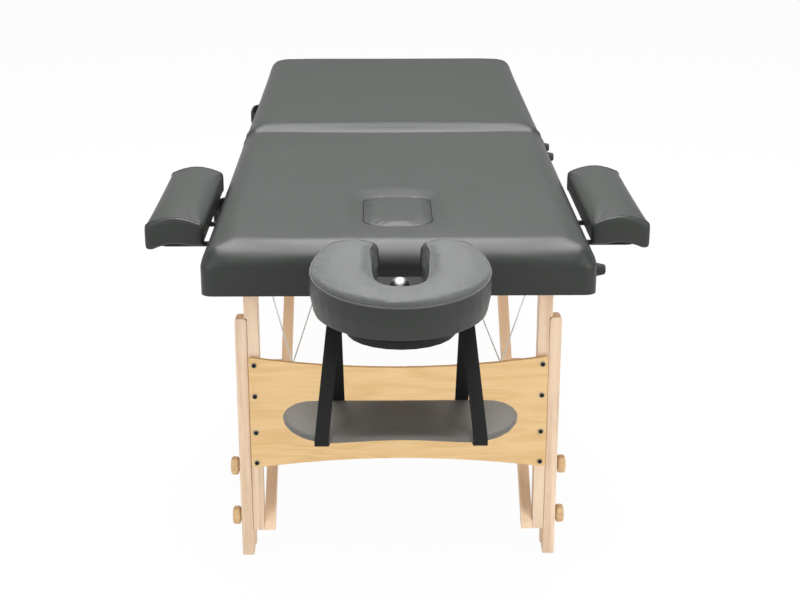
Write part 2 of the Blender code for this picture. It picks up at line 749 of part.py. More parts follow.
def build_panel(end, finish, pivot):
    """Plywood end panel between the legs, with hollowed top and bottom edges."""
    bottom, top = [], []
    for i in range(PANEL_EDGE_STEPS + 1):
        share = 2 * i / PANEL_EDGE_STEPS - 1
        x = share * PANEL_HALF_WIDTH
        bottom.append((x, PANEL_BOTTOM + PANEL_BOTTOM_RISE * (1 - share ** 2)))
        top.append((-x, PANEL_TOP - PANEL_TOP_DIP * (1 - share ** 2)))
    outline = eased_corners(bottom + top, (0, len(bottom) - 1, len(bottom), -1), PANEL_CORNER)
    back = LEG_REACH + LEG_DEPTH / 2 + SEAT_GAP
    body = prism(outline, *sorted((end * back, end * (back + PANEL_THICKNESS))), "y")
    add_part(END_NAMES[end] + "_end_panel", ease_edges(body, PANEL_CHAMFER), finish, pivot)


def brace_points():
    """Reach and height of the brace's leg pivot, elbow and top pivot, laid out to fold flat."""
    foot = Vector((LEG_REACH, BRACE_LEG_HEIGHT))
    top = Vector((BRACE_TOP_DISTANCE, BRACE_TOP_HEIGHT))
    straight = (top - foot).length
    folded_leg = Vector((LEG_REACH - (LEG_PIVOT_HEIGHT - BRACE_LEG_HEIGHT), LEG_PIVOT_HEIGHT))
    folded = (top - folded_leg).length
    lower = (straight - folded) / 2
    return foot, foot.lerp(top, lower / straight), top


def build_link(end, side, name, start, stop, outer_x, finish, pivot, face_reach=None):
    """One link of a folding brace: a bored bar, round at its ends or cut flush with the leg's face."""
    outline = stadium(start, stop, BRACE_DEPTH / 2)
    if face_reach is not None:
        heading = (start - stop).normalized()
        edge = Vector((-heading.y, heading.x)) * BRACE_DEPTH / 2
        upper, lower = start + edge, start - edge
        upper += heading * (face_reach - upper.x) / heading.x
        lower += heading * (LEG_FOOT_HEIGHT - lower.y) / heading.y
        cut = [tuple(lower), (face_reach, LEG_FOOT_HEIGHT), tuple(upper)]
        outline = outline[:len(outline) // 2] + (cut if heading.y < 0 else cut[::-1])
    span = mirrored_x(side, outer_x - BRACE_WIDTH, outer_x)
    body = prism([(end * reach, height) for reach, height in outline], *span, "x")
    link = add_part(name, body, finish, pivot, 40)
    bores = bmesh.new()
    cut_span = (span[0] - BRACE_WIDTH / 2, span[1] + BRACE_WIDTH / 2)
    for reach, height in (start, stop):
        prism(circle((end * reach, height), BRACE_BORE_RADIUS, 12), *cut_span, "x", bores)
    combine(link, bores, "DIFFERENCE")


def build_brace_rail(end, finish, pivot):
    """Rail under the deck that the upper links of both sides are bolted to."""
    half = UPPER_LINK_INNER_X - LINK_GAP
    low = RIM_HEIGHT + BRACE_RAIL_CLEAR
    reaches = sorted(end * (BRACE_TOP_DISTANCE + way * BRACE_RAIL_WIDTH / 2) for way in (-1, 1))
    body = prism(box_outline(*reaches, low, DECK_HEIGHT - SEAT_GAP), -half, half, "x")
    add_part(END_NAMES[end] + "_brace_rail", ease_edges(body, RAIL_CHAMFER), finish, pivot)


def build_cable(end, side, finish, pivot):
    """Half of a tension cable: from the end rail down to the elbow and level to the fold."""
    elbow = brace_points()[1]
    elbow_x = UPPER_LINK_INNER_X - CABLE_RADIUS - PIN_GAP
    anchor_reach = FRAME_END_REACH - CABLE_ANCHOR_IN
    start_height = RIM_HEIGHT - SEAT_GAP - CABLE_RADIUS
    path = [
        (side * CABLE_ANCHOR_X, end * anchor_reach, start_height),
        (side * elbow_x, end * elbow.x, elbow.y),
        (side * CABLE_FOLD_X, end * FOLD_GAP, CABLE_FOLD_HEIGHT)]
    name = "%s_cable_%s" % (END_NAMES[end], SIDE_NAMES[side])
    add_part(name, tube(path, CABLE_RADIUS, 6), finish, pivot, 70)


def build_handle(end, finish, pivot):
    """Carry handle: a bowed band with a flat pad at each end, on the left side rail."""
    seat_x = FRAME_HALF_WIDTH + SEAT_GAP
    half = HANDLE_LENGTH / 2
    grip = half - HANDLE_PAD_LENGTH
    steps = 10

    def bow(proud, share):
        return seat_x + proud * math.sqrt(max(0.0, 1 - share ** 4))

    outer = [(bow(HANDLE_PROUD, 2 * i / steps - 1), 2 * i / steps - 1) for i in range(steps + 1)]
    inner_proud = HANDLE_PROUD - HANDLE_BAND
    inner = [(bow(inner_proud, 2 * i / steps - 1), 2 * i / steps - 1) for i in range(steps + 1)]
    inner_grip = grip - HANDLE_BAND
    line = [(seat_x, -half), (seat_x + HANDLE_BAND, -half)]
    line += [(max(x, seat_x + HANDLE_BAND), y * grip) for x, y in outer]
    line += [(seat_x + HANDLE_BAND, half), (seat_x, half)]
    line += [(x, y * inner_grip) for x, y in reversed(inner)]
    low = RIM_HEIGHT + HANDLE_ABOVE_RIM - HANDLE_HEIGHT / 2
    outline = [(LEFT * x, end * HANDLE_REACH + y) for x, y in line]
    body = prism(outline, low, low + HANDLE_HEIGHT, "z")
    add_part(END_NAMES[end] + "_handle", body, finish, pivot, 40)


def build_foot(name, reach_y, finish, pivot):
    """Tapered rubber foot on the right side, for standing the folded table on its edge."""
    base_x = FRAME_HALF_WIDTH + SEAT_GAP
    tip_x = base_x + FOOT_PROUD
    profile = [
        (base_x, FOOT_BASE_RADIUS), (base_x + FOOT_EASE, FOOT_BASE_RADIUS),
        (tip_x - FOOT_EASE, FOOT_TIP_RADIUS), (tip_x, FOOT_TIP_RADIUS - FOOT_EASE)]
    body = turned(profile, (reach_y, RIM_HEIGHT + FOOT_ABOVE_RIM), "x")
    add_part(name, body, finish, pivot, 40)


def armrest_centre_x():
    """Middle of an armrest, out from the table's middle line."""
    return TABLE_WIDTH / 2 + ARMREST_GAP + ARMREST_WIDTH / 2


def build_armrest_bracket(side, finish, pivot):
    """U-shaped rod: two ends plug into the side rail, the bar between them carries the pad."""
    height = RIM_HEIGHT + ARMREST_ROD_ABOVE_RIM
    inner = side * (FRAME_INNER_X + ARMREST_ROD_SHORT)
    outer = side * (armrest_centre_x() + ARMREST_WIDTH / 2 - ARMREST_BAR_IN)
    near = HEAD * (ARMREST_ROD_REACH + ARMREST_ROD_SPACING / 2)
    far = HEAD * (ARMREST_ROD_REACH - ARMREST_ROD_SPACING / 2)
    path = bent_u(
        (inner, near, height), (outer, near, height), (outer, far, height), (inner, far, height),
        ARMREST_BEND)
    rod = tube(path, ARMREST_ROD_RADIUS, 12)
    add_part("armrest_bracket_" + SIDE_NAMES[side], rod, finish, pivot, 50)


def armrest_section():
    """Cross-section of an armrest from its middle line: hollow underside, upright side, arched top."""
    half = ARMREST_WIDTH / 2
    hem = half - ARMREST_HEM
    points = [(share * hem, ARMREST_HOLLOW * (1 - share ** 2)) for share in (0.35, 0.7, 1.0)]
    points += [(half - ARMREST_FOOT_ROUND, 0.0), (half, ARMREST_FOOT_ROUND)]
    steps = 4
    shoulder = half - ARMREST_SHOULDER
    for i in range(steps + 1):
        turn = 0.5 * math.pi * i / steps
        points.append((shoulder + ARMREST_SHOULDER * math.cos(turn),
                       ARMREST_SIDE_HEIGHT + ARMREST_SHOULDER * math.sin(turn)))
    top = ARMREST_SIDE_HEIGHT + ARMREST_SHOULDER
    points += [(share * shoulder, top + ARMREST_DOME * (1 - share ** 2)) for share in (0.75, 0.5, 0.25)]
    middle = [(0.0, top + ARMREST_DOME)]
    return [(0.0, ARMREST_HOLLOW)] + points + middle + [(-u, v) for u, v in reversed(points)]


def build_armrest_pad(side, finish, pivot):
    """Armrest cushion: a loaf with upright ends, a domed top and a hollow underside."""
    base = RIM_HEIGHT + ARMREST_ROD_ABOVE_RIM + ARMREST_ROD_RADIUS + SEAT_GAP
    section = armrest_section()
    middle = ARMREST_SIDE_HEIGHT / 2
    top = ARMREST_SIDE_HEIGHT + ARMREST_SHOULDER + ARMREST_DOME
    steps = 3
    ends = []
    for i in range(steps + 1):
        turn = 0.5 * math.pi * i / steps
        ends.append((ARMREST_LENGTH / 2 - ARMREST_END_ROUND * (1 - math.sin(turn)),
                     ARMREST_END_ROUND * (1 - math.cos(turn))))
    loops = []
    for along, inset in [(-along, inset) for along, inset in reversed(ends)] + ends:
        thin = 1 - inset / (ARMREST_WIDTH / 2)
        low = 1 - inset / (top - middle)
        loop = []
        for u, v in section:
            rise = middle + (v - middle) * (low if v > middle else 1.0)
            across = side * armrest_centre_x() + u * thin
            loop.append((across, HEAD * ARMREST_REACH + along, base + rise))
        loops.append(loop)
    add_part("armrest_pad_" + SIDE_NAMES[side], loft(loops), finish, pivot, 50)


def build_cradle_rods(finish, pivot):
    """U-shaped rod: its ends slide in the head rail and its middle is the tilt axle."""
    inner = HEAD * (LEG_REACH + LEG_AXLE_RADIUS + CRADLE_ROD_CLEAR)
    outer = HEAD * CRADLE_AXIS_REACH
    x = CRADLE_ROD_X
    z = CRADLE_AXIS_HEIGHT
    path = bent_u((-x, inner, z), (-x, outer, z), (x, outer, z), (x, inner, z), CRADLE_BEND)
    add_part("cradle_rods", tube(path, CRADLE_ROD_RADIUS, 12), finish, pivot, 50)


def cradle_plate_bow(inset):
    """Bowed front edge of the cradle plate, from its left to its right, drawn in by an inset."""
    half = CRADLE_PLATE_HALF_WIDTH - inset
    bow = CRADLE_PLATE_BOW - inset
    start = HALF_LENGTH + CRADLE_PLATE_FAR - CRADLE_PLATE_BOW
    steps = 12
    turns = [math.pi * (1 - i / steps) for i in range(steps + 1)]
    return [(half * math.cos(turn), HEAD * (start + bow * math.sin(turn))) for turn in turns]


def build_cradle_plate(finish, pivot):
    """Black plate under the cradle cushion, with lugs round the tilt axle and a bar for the sling."""
    near = HALF_LENGTH + CRADLE_PLATE_NEAR
    far = HALF_LENGTH + CRADLE_PLATE_FAR
    low = CRADLE_PLATE_HEIGHT
    high = low + CRADLE_PLATE_THICKNESS
    half = CRADLE_PLATE_HALF_WIDTH
    bow = cradle_plate_bow(0.0)
    outline = eased_corners([(half, HEAD * near), (-half, HEAD * near)] + bow, (0, 1), CRADLE_PLATE_CORNER, 4)
    plate = add_part("cradle_plate", prism(outline, low, high, "z"), finish, pivot, 40)
    lugs = bmesh.new()
    overlap = CRADLE_PLATE_THICKNESS / 2
    lip = bow[1:-1] + cradle_plate_bow(CRADLE_LIP_WALL)[1:-1][::-1]
    combine(plate, prism(lip, low - CRADLE_LIP_DROP, low + overlap, "z"), "UNION")
    bar_height = low - SLING_BAR_DROP
    bar_reach = HALF_LENGTH + SLING_BAR_OUT
    places = (
        (CRADLE_LUG_X, CRADLE_AXIS_REACH, CRADLE_AXIS_HEIGHT, CRADLE_ROD_RADIUS + CRADLE_LUG_WALL),
        (SLING_LUG_X, bar_reach, bar_height, SLING_BAR_RADIUS + CRADLE_LUG_WALL / 2))
    for x, reach, height, radius in places:
        lug = stadium((HEAD * reach, height), (HEAD * reach, low + overlap), radius)
        lug = [(y, min(z, low + overlap)) for y, z in lug]
        for side in (LEFT, RIGHT):
            span = (side * x - CRADLE_LUG_WIDTH / 2, side * x + CRADLE_LUG_WIDTH / 2)
            prism(lug, *span, "x", lugs)
    bmesh.ops.remove_doubles(lugs, verts=lugs.verts, dist=1e-6)
    combine(plate, lugs, "UNION")
    bar = circle((HEAD * bar_reach, bar_height), SLING_BAR_RADIUS)
    combine(plate, prism(bar, -SLING_BAR_HALF_LENGTH, SLING_BAR_HALF_LENGTH, "x"), "UNION")
    axle = circle((HEAD * CRADLE_AXIS_REACH, CRADLE_AXIS_HEIGHT), CRADLE_ROD_RADIUS + PIN_GAP)
    combine(plate, prism(axle, -CRADLE_ROD_X, CRADLE_ROD_X, "x"), "DIFFERENCE")


def build_cradle_clamp(finish, pivot):
    """Domed clamp bolt that shows in the face opening."""
    base = CRADLE_PLATE_HEIGHT + CRADLE_PLATE_THICKNESS + SEAT_GAP
    steps = 5
    profile = [(base, CLAMP_RADIUS), (base + CLAMP_RIM_HEIGHT, CLAMP_RADIUS)]
    for i in range(1, steps):
        turn = 0.5 * math.pi * i / steps
        rise = CLAMP_RIM_HEIGHT + (CLAMP_HEIGHT - CLAMP_RIM_HEIGHT) * math.sin(turn)
        profile.append((base + rise, CLAMP_RADIUS * math.cos(turn)))
    centre = (0.0, HEAD * (HALF_LENGTH + CLAMP_OUT))
    add_part("cradle_clamp", turned(profile, centre, "z"), finish, pivot, 50)


def cushion_path():
    """Edges of the horseshoe, inner and outer, with the share of its full section at each station."""
    outer = CUSHION_HALF_WIDTH
    inner = outer - CUSHION_ARM_WIDTH
    bend = HALF_LENGTH + CUSHION_FAR - outer
    inner_bend = outer - CUSHION_FRONT_WIDTH
    arm_end = HALF_LENGTH + CUSHION_NEAR

    def arm(reach):
        share = (bend - reach) / (bend - arm_end)
        return (Vector((inner - CUSHION_INNER_TOE_IN * share ** 2, reach)),
                Vector((outer - CUSHION_OUTER_TOE_IN * share ** 2, reach)))

    right = []
    for i in range(CUSHION_END_STEPS, -1, -1):
        turn = 0.5 * math.pi * i / (CUSHION_END_STEPS + 0.4)
        right.append((arm(arm_end + CUSHION_END_ROUND * (1 - math.sin(turn))), math.cos(turn)))
    straight = arm_end + CUSHION_END_ROUND
    for i in range(1, CUSHION_ARM_STEPS):
        right.append((arm(straight + (bend - straight) * i / CUSHION_ARM_STEPS), 1.0))
    front = []
    for i in range(CUSHION_BEND_STEPS + 1):
        turn = math.pi * i / CUSHION_BEND_STEPS
        across = math.cos(turn)
        along = math.sin(turn)
        slot_across = math.copysign(abs(across) ** CUSHION_SLOT_SQUARENESS, across)
        slot_along = abs(along) ** CUSHION_SLOT_SQUARENESS
        front.append(((Vector((inner * slot_across, bend + inner_bend * slot_along)),
                       Vector((outer * across, bend + outer * along))), 1.0))
    left = [(tuple(Vector((-edge.x, edge.y)) for edge in pair), size) for pair, size in right]
    return right + front + left[::-1]


def cushion_section():
    """Edge, inset from that edge and height of each point round the cushion's cross-section."""
    levels = crowned_levels(
        0.0, CUSHION_THICKNESS, CUSHION_FOOT_INSET, CUSHION_EDGE_ROUND, CUSHION_CROWN,
        CUSHION_CROWN_INSETS, round_steps=3)
    levels = [level for level in levels if level[1] < CUSHION_THICKNESS]
    right = [(1, inset, height) for inset, height in levels]
    left = [(-1, inset, height) for inset, height in reversed(levels)]
    return right + [(0, 0.0, CUSHION_THICKNESS)] + left


def build_cradle_cushion(finish, pivot):
    """Horseshoe cushion, slimmer in front than at its arms, with a flat crown and round arm ends."""
    base = CRADLE_PLATE_HEIGHT + CRADLE_PLATE_THICKNESS + SEAT_GAP
    middle = CUSHION_THICKNESS / 2
    loops = []
    for (inner, outer), size in cushion_path():
        centre = (inner + outer) / 2
        half = (outer - inner) / 2
        loop = []
        for edge, inset, height in cushion_section():
            place = centre + half * edge * size * (1 - inset / half.length)
            rise = base + height
            if height < middle:
                rise += (middle - height) * (1 - size) * 0.5
            else:
                rise -= (height - middle) * (1 - size) * 0.7
            loop.append((place.x, HEAD * place.y, rise))
        loops.append(loop)
    add_part("cradle_cushion", loft(loops), finish, pivot, 50)


def tilted(reach, height):
    """Where a point of the level cradle comes to lie once the cradle is tilted."""
    out = reach - CRADLE_AXIS_REACH
    rise = height - CRADLE_AXIS_HEIGHT
    cos = math.cos(CRADLE_TILT)
    sin = math.sin(CRADLE_TILT)
    return (CRADLE_AXIS_REACH + out * cos + rise * sin, CRADLE_AXIS_HEIGHT + rise * cos - out * sin)


def sling_bar_point():
    """Reach and height of the sling bar on the tilted cradle."""
    return tilted(HALF_LENGTH + SLING_BAR_OUT, CRADLE_PLATE_HEIGHT - SLING_BAR_DROP)


def shelf_reaches():
    """Near and far edge of the shelf, which hangs with its middle under the sling bar."""
    middle = sling_bar_point()[0]
    return middle - SHELF_DEPTH / 2, middle + SHELF_DEPTH / 2


def shelf_outline(inset):
    """Kidney outline of the sling shelf: straight towards the table, hollowed in front."""
    near, far = shelf_reaches()
    half = SHELF_HALF_WIDTH
    points = []
    steps = 12
    for i in range(steps + 1):
        share = 2 * i / steps - 1
        hollow = SHELF_FRONT_DIP * math.cos(share * math.pi / 2) ** 2
        points.append((share * (half - SHELF_END_ROUND), far - hollow))
    end_steps = 8
    for i in range(1, end_steps):
        turn = 0.5 * math.pi - math.pi * i / end_steps
        centre_x = half - SHELF_END_ROUND
        points.append((centre_x + SHELF_END_ROUND * math.cos(turn),
                       near + SHELF_DEPTH / 2 * (1 + math.sin(turn))))
    for i in range(steps + 1):
        share = 1 - 2 * i / steps
        points.append((share * (half - SHELF_END_ROUND), near))
    for i in range(1, end_steps):
        turn = 1.5 * math.pi - math.pi * i / end_steps
        centre_x = -(half - SHELF_END_ROUND)
        points.append((centre_x + SHELF_END_ROUND * math.cos(turn),
                       near + SHELF_DEPTH / 2 * (1 + math.sin(turn))))
    count = len(points)
    moved = []
    for i in range(count):
        along = (Vector(points[(i + 1) % count]) - Vector(points[i - 1])).normalized()
        inward = Vector((along.y, -along.x))
        moved.append(tuple(Vector(points[i]) + inward * inset))
    return [(x, HEAD * reach) for x, reach in moved]


def build_shelf(finish, pivot):
    """Padded shelf of the arm sling."""
    base = SHELF_TOP_HEIGHT - SHELF_THICKNESS
    levels = crowned_levels(
        base, SHELF_THICKNESS, SHELF_EDGE_ROUND / 2, SHELF_EDGE_ROUND, SHELF_CROWN,
        SHELF_CROWN_INSETS, round_steps=3)
    add_part("sling_shelf", cushion(shelf_outline, levels, (0.0, 0.0)), finish, pivot, 50)


def strap_rounds():
    """Circles that a webbing loop runs round, in (reach, height): the bar, then the shelf's edges."""
    top_round = SHELF_EDGE_ROUND
    foot_round = SHELF_EDGE_ROUND / 2
    top = SHELF_TOP_HEIGHT - SHELF_CROWN - top_round
    low = SHELF_TOP_HEIGHT - SHELF_THICKNESS + foot_round
    near, far = shelf_reaches()
    return (
        (sling_bar_point(), SLING_BAR_RADIUS + PIN_GAP),
        ((near + top_round, top), top_round + LINK_GAP),
        ((near + foot_round, low), foot_round + LINK_GAP),
        ((far - foot_round, low), foot_round + LINK_GAP),
        ((far - top_round, top), top_round + LINK_GAP))


def build_strap(side, finish, pivot):
    """Webbing loop over the sling bar and under the shelf, splayed towards the bottom."""
    rounds = strap_rounds()
    inner = []
    outer = []
    steps = 4
    for k, (centre, radius) in enumerate(rounds):
        before, before_radius = rounds[k - 1]
        after, after_radius = rounds[(k + 1) % len(rounds)]
        start = tangent_turn(before, before_radius, centre, radius)
        stop = tangent_turn(centre, radius, after, after_radius)
        while stop < start:
            stop += 2 * math.pi
        for i in range(steps + 1):
            turn = start + (stop - start) * i / steps
            spoke = Vector((math.cos(turn), math.sin(turn)))
            inner.append(Vector(centre) + spoke * radius)
            outer.append(Vector(centre) + spoke * (radius + STRAP_THICKNESS))
    bar_height = rounds[0][0][1]
    drop = bar_height - SHELF_TOP_HEIGHT

    def edge_loop(line, way):
        loop = []
        for reach, height in line:
            share = min((bar_height - height) / drop, 1.0)
            middle = STRAP_TOP_X + (STRAP_SHELF_X - STRAP_TOP_X) * share
            loop.append((side * (middle + way * STRAP_WIDTH / 2), HEAD * reach, height))
        return loop

    loops = [edge_loop(outer, -1), edge_loop(outer, 1), edge_loop(inner, 1), edge_loop(inner, -1)]
    add_part("sling_strap_" + SIDE_NAMES[side], ring_body(loops), finish, pivot, 40)


def tangent_turn(start, start_radius, stop, stop_radius):
    """Direction of the spoke where a belt running round two circles leaves the first for the second."""
    line = Vector(stop) - Vector(start)
    heading = math.atan2(line.y, line.x)
    return heading - math.acos((start_radius - stop_radius) / line.length)


def centre_on_footprint(root):
    """Shift the whole table so that the origin lies under the middle of its footprint."""
    bpy.context.view_layer.update()
    spread = []
    for item in bpy.data.objects:
        if item.type == "MESH" and not item.hide_render:
            spread.extend((item.matrix_world @ vertex.co).y for vertex in item.data.vertices)
    root.location.y = -(min(spread) + max(spread)) / 2


def build_table():
    """Make every piece of the table on the pivot of its body."""
    leather = make_material("leather", (0.085, 0.090, 0.086), 0.42)
    shelf_leather = make_material("shelf_leather", (0.13, 0.115, 0.105), 0.5)
    beech = make_material("beech", (0.72, 0.50, 0.35), 0.45)
    panel_ply = make_material("panel_plywood", (0.74, 0.49, 0.24), 0.4)
    deck_ply = make_material("deck_plywood", (0.55, 0.40, 0.25), 0.6)
    knob_wood = make_material("knob_wood", (0.66, 0.46, 0.22), 0.45)
    steel = make_material("steel", (0.62, 0.62, 0.63), 0.3, 1.0)
    black_steel = make_material("black_steel", (0.02, 0.02, 0.02), 0.4, 0.6)
    webbing = make_material("webbing", (0.012, 0.012, 0.013), 0.85)
    rubber = make_material("rubber", (0.015, 0.015, 0.015), 0.7)
    chrome = make_material("chrome", (0.8, 0.8, 0.82), 0.12, 1.0)

    root = make_pivot("table_origin", None)
    half_pivots = {
        HEAD: make_pivot("head_half", root),
        FOOT: make_pivot("foot_half", root, (0.0, 0.0, HINGE_AXIS_HEIGHT))}
    pin_pivot = make_pivot("fold_axis", root, (0.0, 0.0, HINGE_AXIS_HEIGHT))
    build_hinge_pin(steel, pin_pivot)
    foot, elbow, top = brace_points()
    for end in (HEAD, FOOT):
        name = END_NAMES[end]
        half = half_pivots[end]
        build_frame(end, beech, half)
        build_deck(end, deck_ply, half)
        build_pad(end, leather, half)
        build_hinge_leaf(end, steel, half)
        build_leg_axle(end, steel, half)
        build_brace_rail(end, beech, half)
        build_handle(end, webbing, half)
        legs = make_pivot(name + "_leg_axis", root, (0.0, end * LEG_REACH, LEG_PIVOT_HEIGHT))
        lower = make_pivot(name + "_lower_link_axis", root, (0.0, end * foot.x, foot.y))
        upper = make_pivot(name + "_upper_link_axis", root, (0.0, end * top.x, top.y))
        build_panel(end, panel_ply, legs)
        for side in (LEFT, RIGHT):
            tag = "_" + SIDE_NAMES[side]
            build_leg(end, side, beech, legs)
            slide = make_pivot(name + "_extension_slide" + tag, root, (0.0, end * LEG_REACH, 0.0))
            build_extension(end, side, beech, slide)
            for place, height in zip(("low", "high"), KNOB_HEIGHTS):
                spin = make_pivot(
                    "%s_knob_axis%s_%s" % (name, tag, place), root, (0.0, end * LEG_REACH, height))
                build_knob(end, side, place, height, knob_wood, spin)
            build_link(
                end, side, name + "_lower_link" + tag, foot, elbow, LOWER_LINK_OUTER_X, beech, lower,
                LEG_REACH + LEG_DEPTH / 2)
            build_link(
                end, side, name + "_upper_link" + tag, elbow, top, UPPER_LINK_OUTER_X, beech, upper)
            build_cable(end, side, steel, half)
    build_foot("rubber_foot_end", HEAD * (HALF_LENGTH - FOOT_END_IN), rubber, half_pivots[HEAD])
    build_foot("rubber_foot_head_fold", HEAD * FOOT_FOLD_DISTANCE, rubber, half_pivots[HEAD])
    build_foot("rubber_foot_foot_fold", FOOT * FOOT_FOLD_DISTANCE, rubber, half_pivots[FOOT])

    plug = make_pivot("plug_lift", root, (0.0, HEAD * FACE_HOLE_REACH, DECK_HEIGHT))
    build_plug(leather, plug)
    for side in (LEFT, RIGHT):
        arm = make_pivot(
            "armrest_slide_" + SIDE_NAMES[side], root,
            (side * FRAME_HALF_WIDTH, HEAD * ARMREST_REACH, RIM_HEIGHT + ARMREST_ROD_ABOVE_RIM))
        build_armrest_bracket(side, steel, arm)
        build_armrest_pad(side, leather, arm)

    cradle_axis = (0.0, HEAD * CRADLE_AXIS_REACH, CRADLE_AXIS_HEIGHT)
    cradle_slide = make_pivot("cradle_slide", root, cradle_axis)
    cradle_tilt = make_pivot("cradle_tilt_axis", root, cradle_axis, CRADLE_TILT)
    bar_reach, bar_height = sling_bar_point()
    sling = make_pivot("sling_axis", root, (0.0, HEAD * bar_reach, bar_height))
    build_cradle_rods(steel, cradle_slide)
    build_cradle_plate(black_steel, cradle_tilt)
    build_cradle_clamp(chrome, cradle_tilt)
    build_cradle_cushion(leather, cradle_tilt)
    build_shelf(shelf_leather, sling)
    for side in (LEFT, RIGHT):
        build_strap(side, webbing, sling)
    centre_on_footprint(root)


clear_scene()
build_table()
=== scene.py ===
import json
import math

import bmesh
import bpy
import numpy as np
from mathutils import Matrix, Vector


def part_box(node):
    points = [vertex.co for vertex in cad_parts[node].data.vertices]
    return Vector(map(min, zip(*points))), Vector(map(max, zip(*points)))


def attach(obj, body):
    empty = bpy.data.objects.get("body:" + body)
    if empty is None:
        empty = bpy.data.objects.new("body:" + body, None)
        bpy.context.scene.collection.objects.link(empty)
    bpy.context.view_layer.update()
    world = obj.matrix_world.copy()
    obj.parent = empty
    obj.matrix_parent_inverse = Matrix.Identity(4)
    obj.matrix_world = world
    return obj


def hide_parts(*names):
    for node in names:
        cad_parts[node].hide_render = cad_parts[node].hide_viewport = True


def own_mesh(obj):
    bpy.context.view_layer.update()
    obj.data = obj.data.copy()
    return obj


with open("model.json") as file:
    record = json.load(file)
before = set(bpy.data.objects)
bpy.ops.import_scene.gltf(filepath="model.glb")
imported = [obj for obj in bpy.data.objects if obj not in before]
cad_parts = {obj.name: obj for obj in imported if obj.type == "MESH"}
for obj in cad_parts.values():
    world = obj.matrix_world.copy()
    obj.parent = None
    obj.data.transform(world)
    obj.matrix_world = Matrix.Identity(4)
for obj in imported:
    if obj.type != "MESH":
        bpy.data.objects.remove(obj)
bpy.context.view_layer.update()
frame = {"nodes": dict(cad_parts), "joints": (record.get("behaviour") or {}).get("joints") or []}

solids = frame["nodes"]
scene = bpy.context.scene
HEAD, FOOT = -1, 1
LEFT, RIGHT = -1, 1
END_NAMES = {HEAD: "head", FOOT: "foot"}
SIDE_NAMES = {LEFT: "left", RIGHT: "right"}
ENDS = (HEAD, FOOT)
SIDES = (LEFT, RIGHT)


def middle(node):
    """Centre of a solid's box."""
    low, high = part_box(node)
    return (low + high) / 2


# Stations taken from the solids, in metres
FOLD_Y = middle("fold_hinge_pin").y
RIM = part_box("head_frame")[0].z
PAD_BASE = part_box("head_pad")[0].z
TABLE_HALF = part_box("head_pad")[1].x
JOINT_AT = {joint["name"]: Vector(joint["pos_m"]) for joint in frame["joints"] if joint.get("pos_m")}
CRADLE_AXIS = JOINT_AT["cradle_tilt"]
CRADLE_TILT = math.radians(3.0)  # how far the cradle leans at rest
CRADLE_UP = Vector((0.0, -math.sin(CRADLE_TILT), math.cos(CRADLE_TILT)))
CRADLE_LEVEL = Vector((0.0, math.cos(CRADLE_TILT), math.sin(CRADLE_TILT)))


# ------------------------------------------------------------------ camera, light and floor

def stand_camera():
    """Camera in front of the head end, looking slightly down along the table."""
    look_down, look_aside = math.radians(18.876), math.radians(-0.7657)
    eye = bpy.data.cameras.new("camera")
    eye.sensor_width = 36.0
    eye.lens = 68.70
    eye.clip_end = 60.0
    stand = bpy.data.objects.new("camera", eye)
    scene.collection.objects.link(stand)
    stand.location = (-0.0315, -3.2447, 1.3799)
    stand.rotation_euler = (math.pi / 2 - look_down, 0.0, look_aside)
    scene.camera = stand


def hang_lamp(name, at, aim, size, power):
    """One soft box of a width and a length, aimed at a point."""
    lamp = bpy.data.lights.new(name, "AREA")
    lamp.shape = "RECTANGLE"
    lamp.size, lamp.size_y = size
    lamp.energy = power
    box = bpy.data.objects.new(name, lamp)
    scene.collection.objects.link(box)
    box.location = at
    box.rotation_euler = (Vector(aim) - Vector(at)).to_track_quat("-Z", "Y").to_euler()


class Value:
    """One socket's number, open to plain arithmetic."""

    def __init__(self, finish, socket):
        self.finish = finish
        self.socket = socket

    def join(self, operation, first, second):
        return self.finish.node("ShaderNodeMath", {"operation": operation}, {0: first, 1: second})

    def __add__(self, other):
        return self.join("ADD", self, other)

    def __radd__(self, other):
        return self.join("ADD", other, self)

    def __mul__(self, other):
        return self.join("MULTIPLY", self, other)

    def most(self, other):
        return self.join("MAXIMUM", self, other)


class Tree:
    """A node tree, with one way to add any node."""

    def __init__(self, tree):
        self.tree = tree

    def node(self, kind, settings=None, sockets=None, out=0):
        made = self.tree.nodes.new(kind)
        for name, value in (settings or {}).items():
            if name == "stops":
                ramp = made.color_ramp.elements
                ramp[0].position, ramp[0].color = value[0]
                ramp[1].position, ramp[1].color = value[-1]
                for place, colour in value[1:-1]:
                    ramp.new(place).color = colour
            else:
                setattr(made, name, value)
        for key, value in (sockets or {}).items():
            if isinstance(value, Value):
                self.tree.links.new(value.socket, made.inputs[key])
            else:
                made.inputs[key].default_value = value
        return Value(self, made.outputs[out]) if made.outputs else None

    def mix(self, share, one, other):
        """Colour between two colours."""
        return self.node("ShaderNodeMix", {"data_type": "RGBA"}, {0: share, 6: one, 7: other}, out=2)

    def ramp(self, share, *stops):
        return self.node("ShaderNodeValToRGB", {"stops": stops}, {"Fac": share})

    def seen(self, mirrored=1.0):
        """One where the camera or glass looks straight at it, and a share of one in a gloss."""
        rays = [self.node("ShaderNodeLightPath", out=name)
                for name in ("Is Camera Ray", "Is Glossy Ray", "Is Transmission Ray")]
        return rays[0].most(rays[1] * mirrored).most(rays[2])


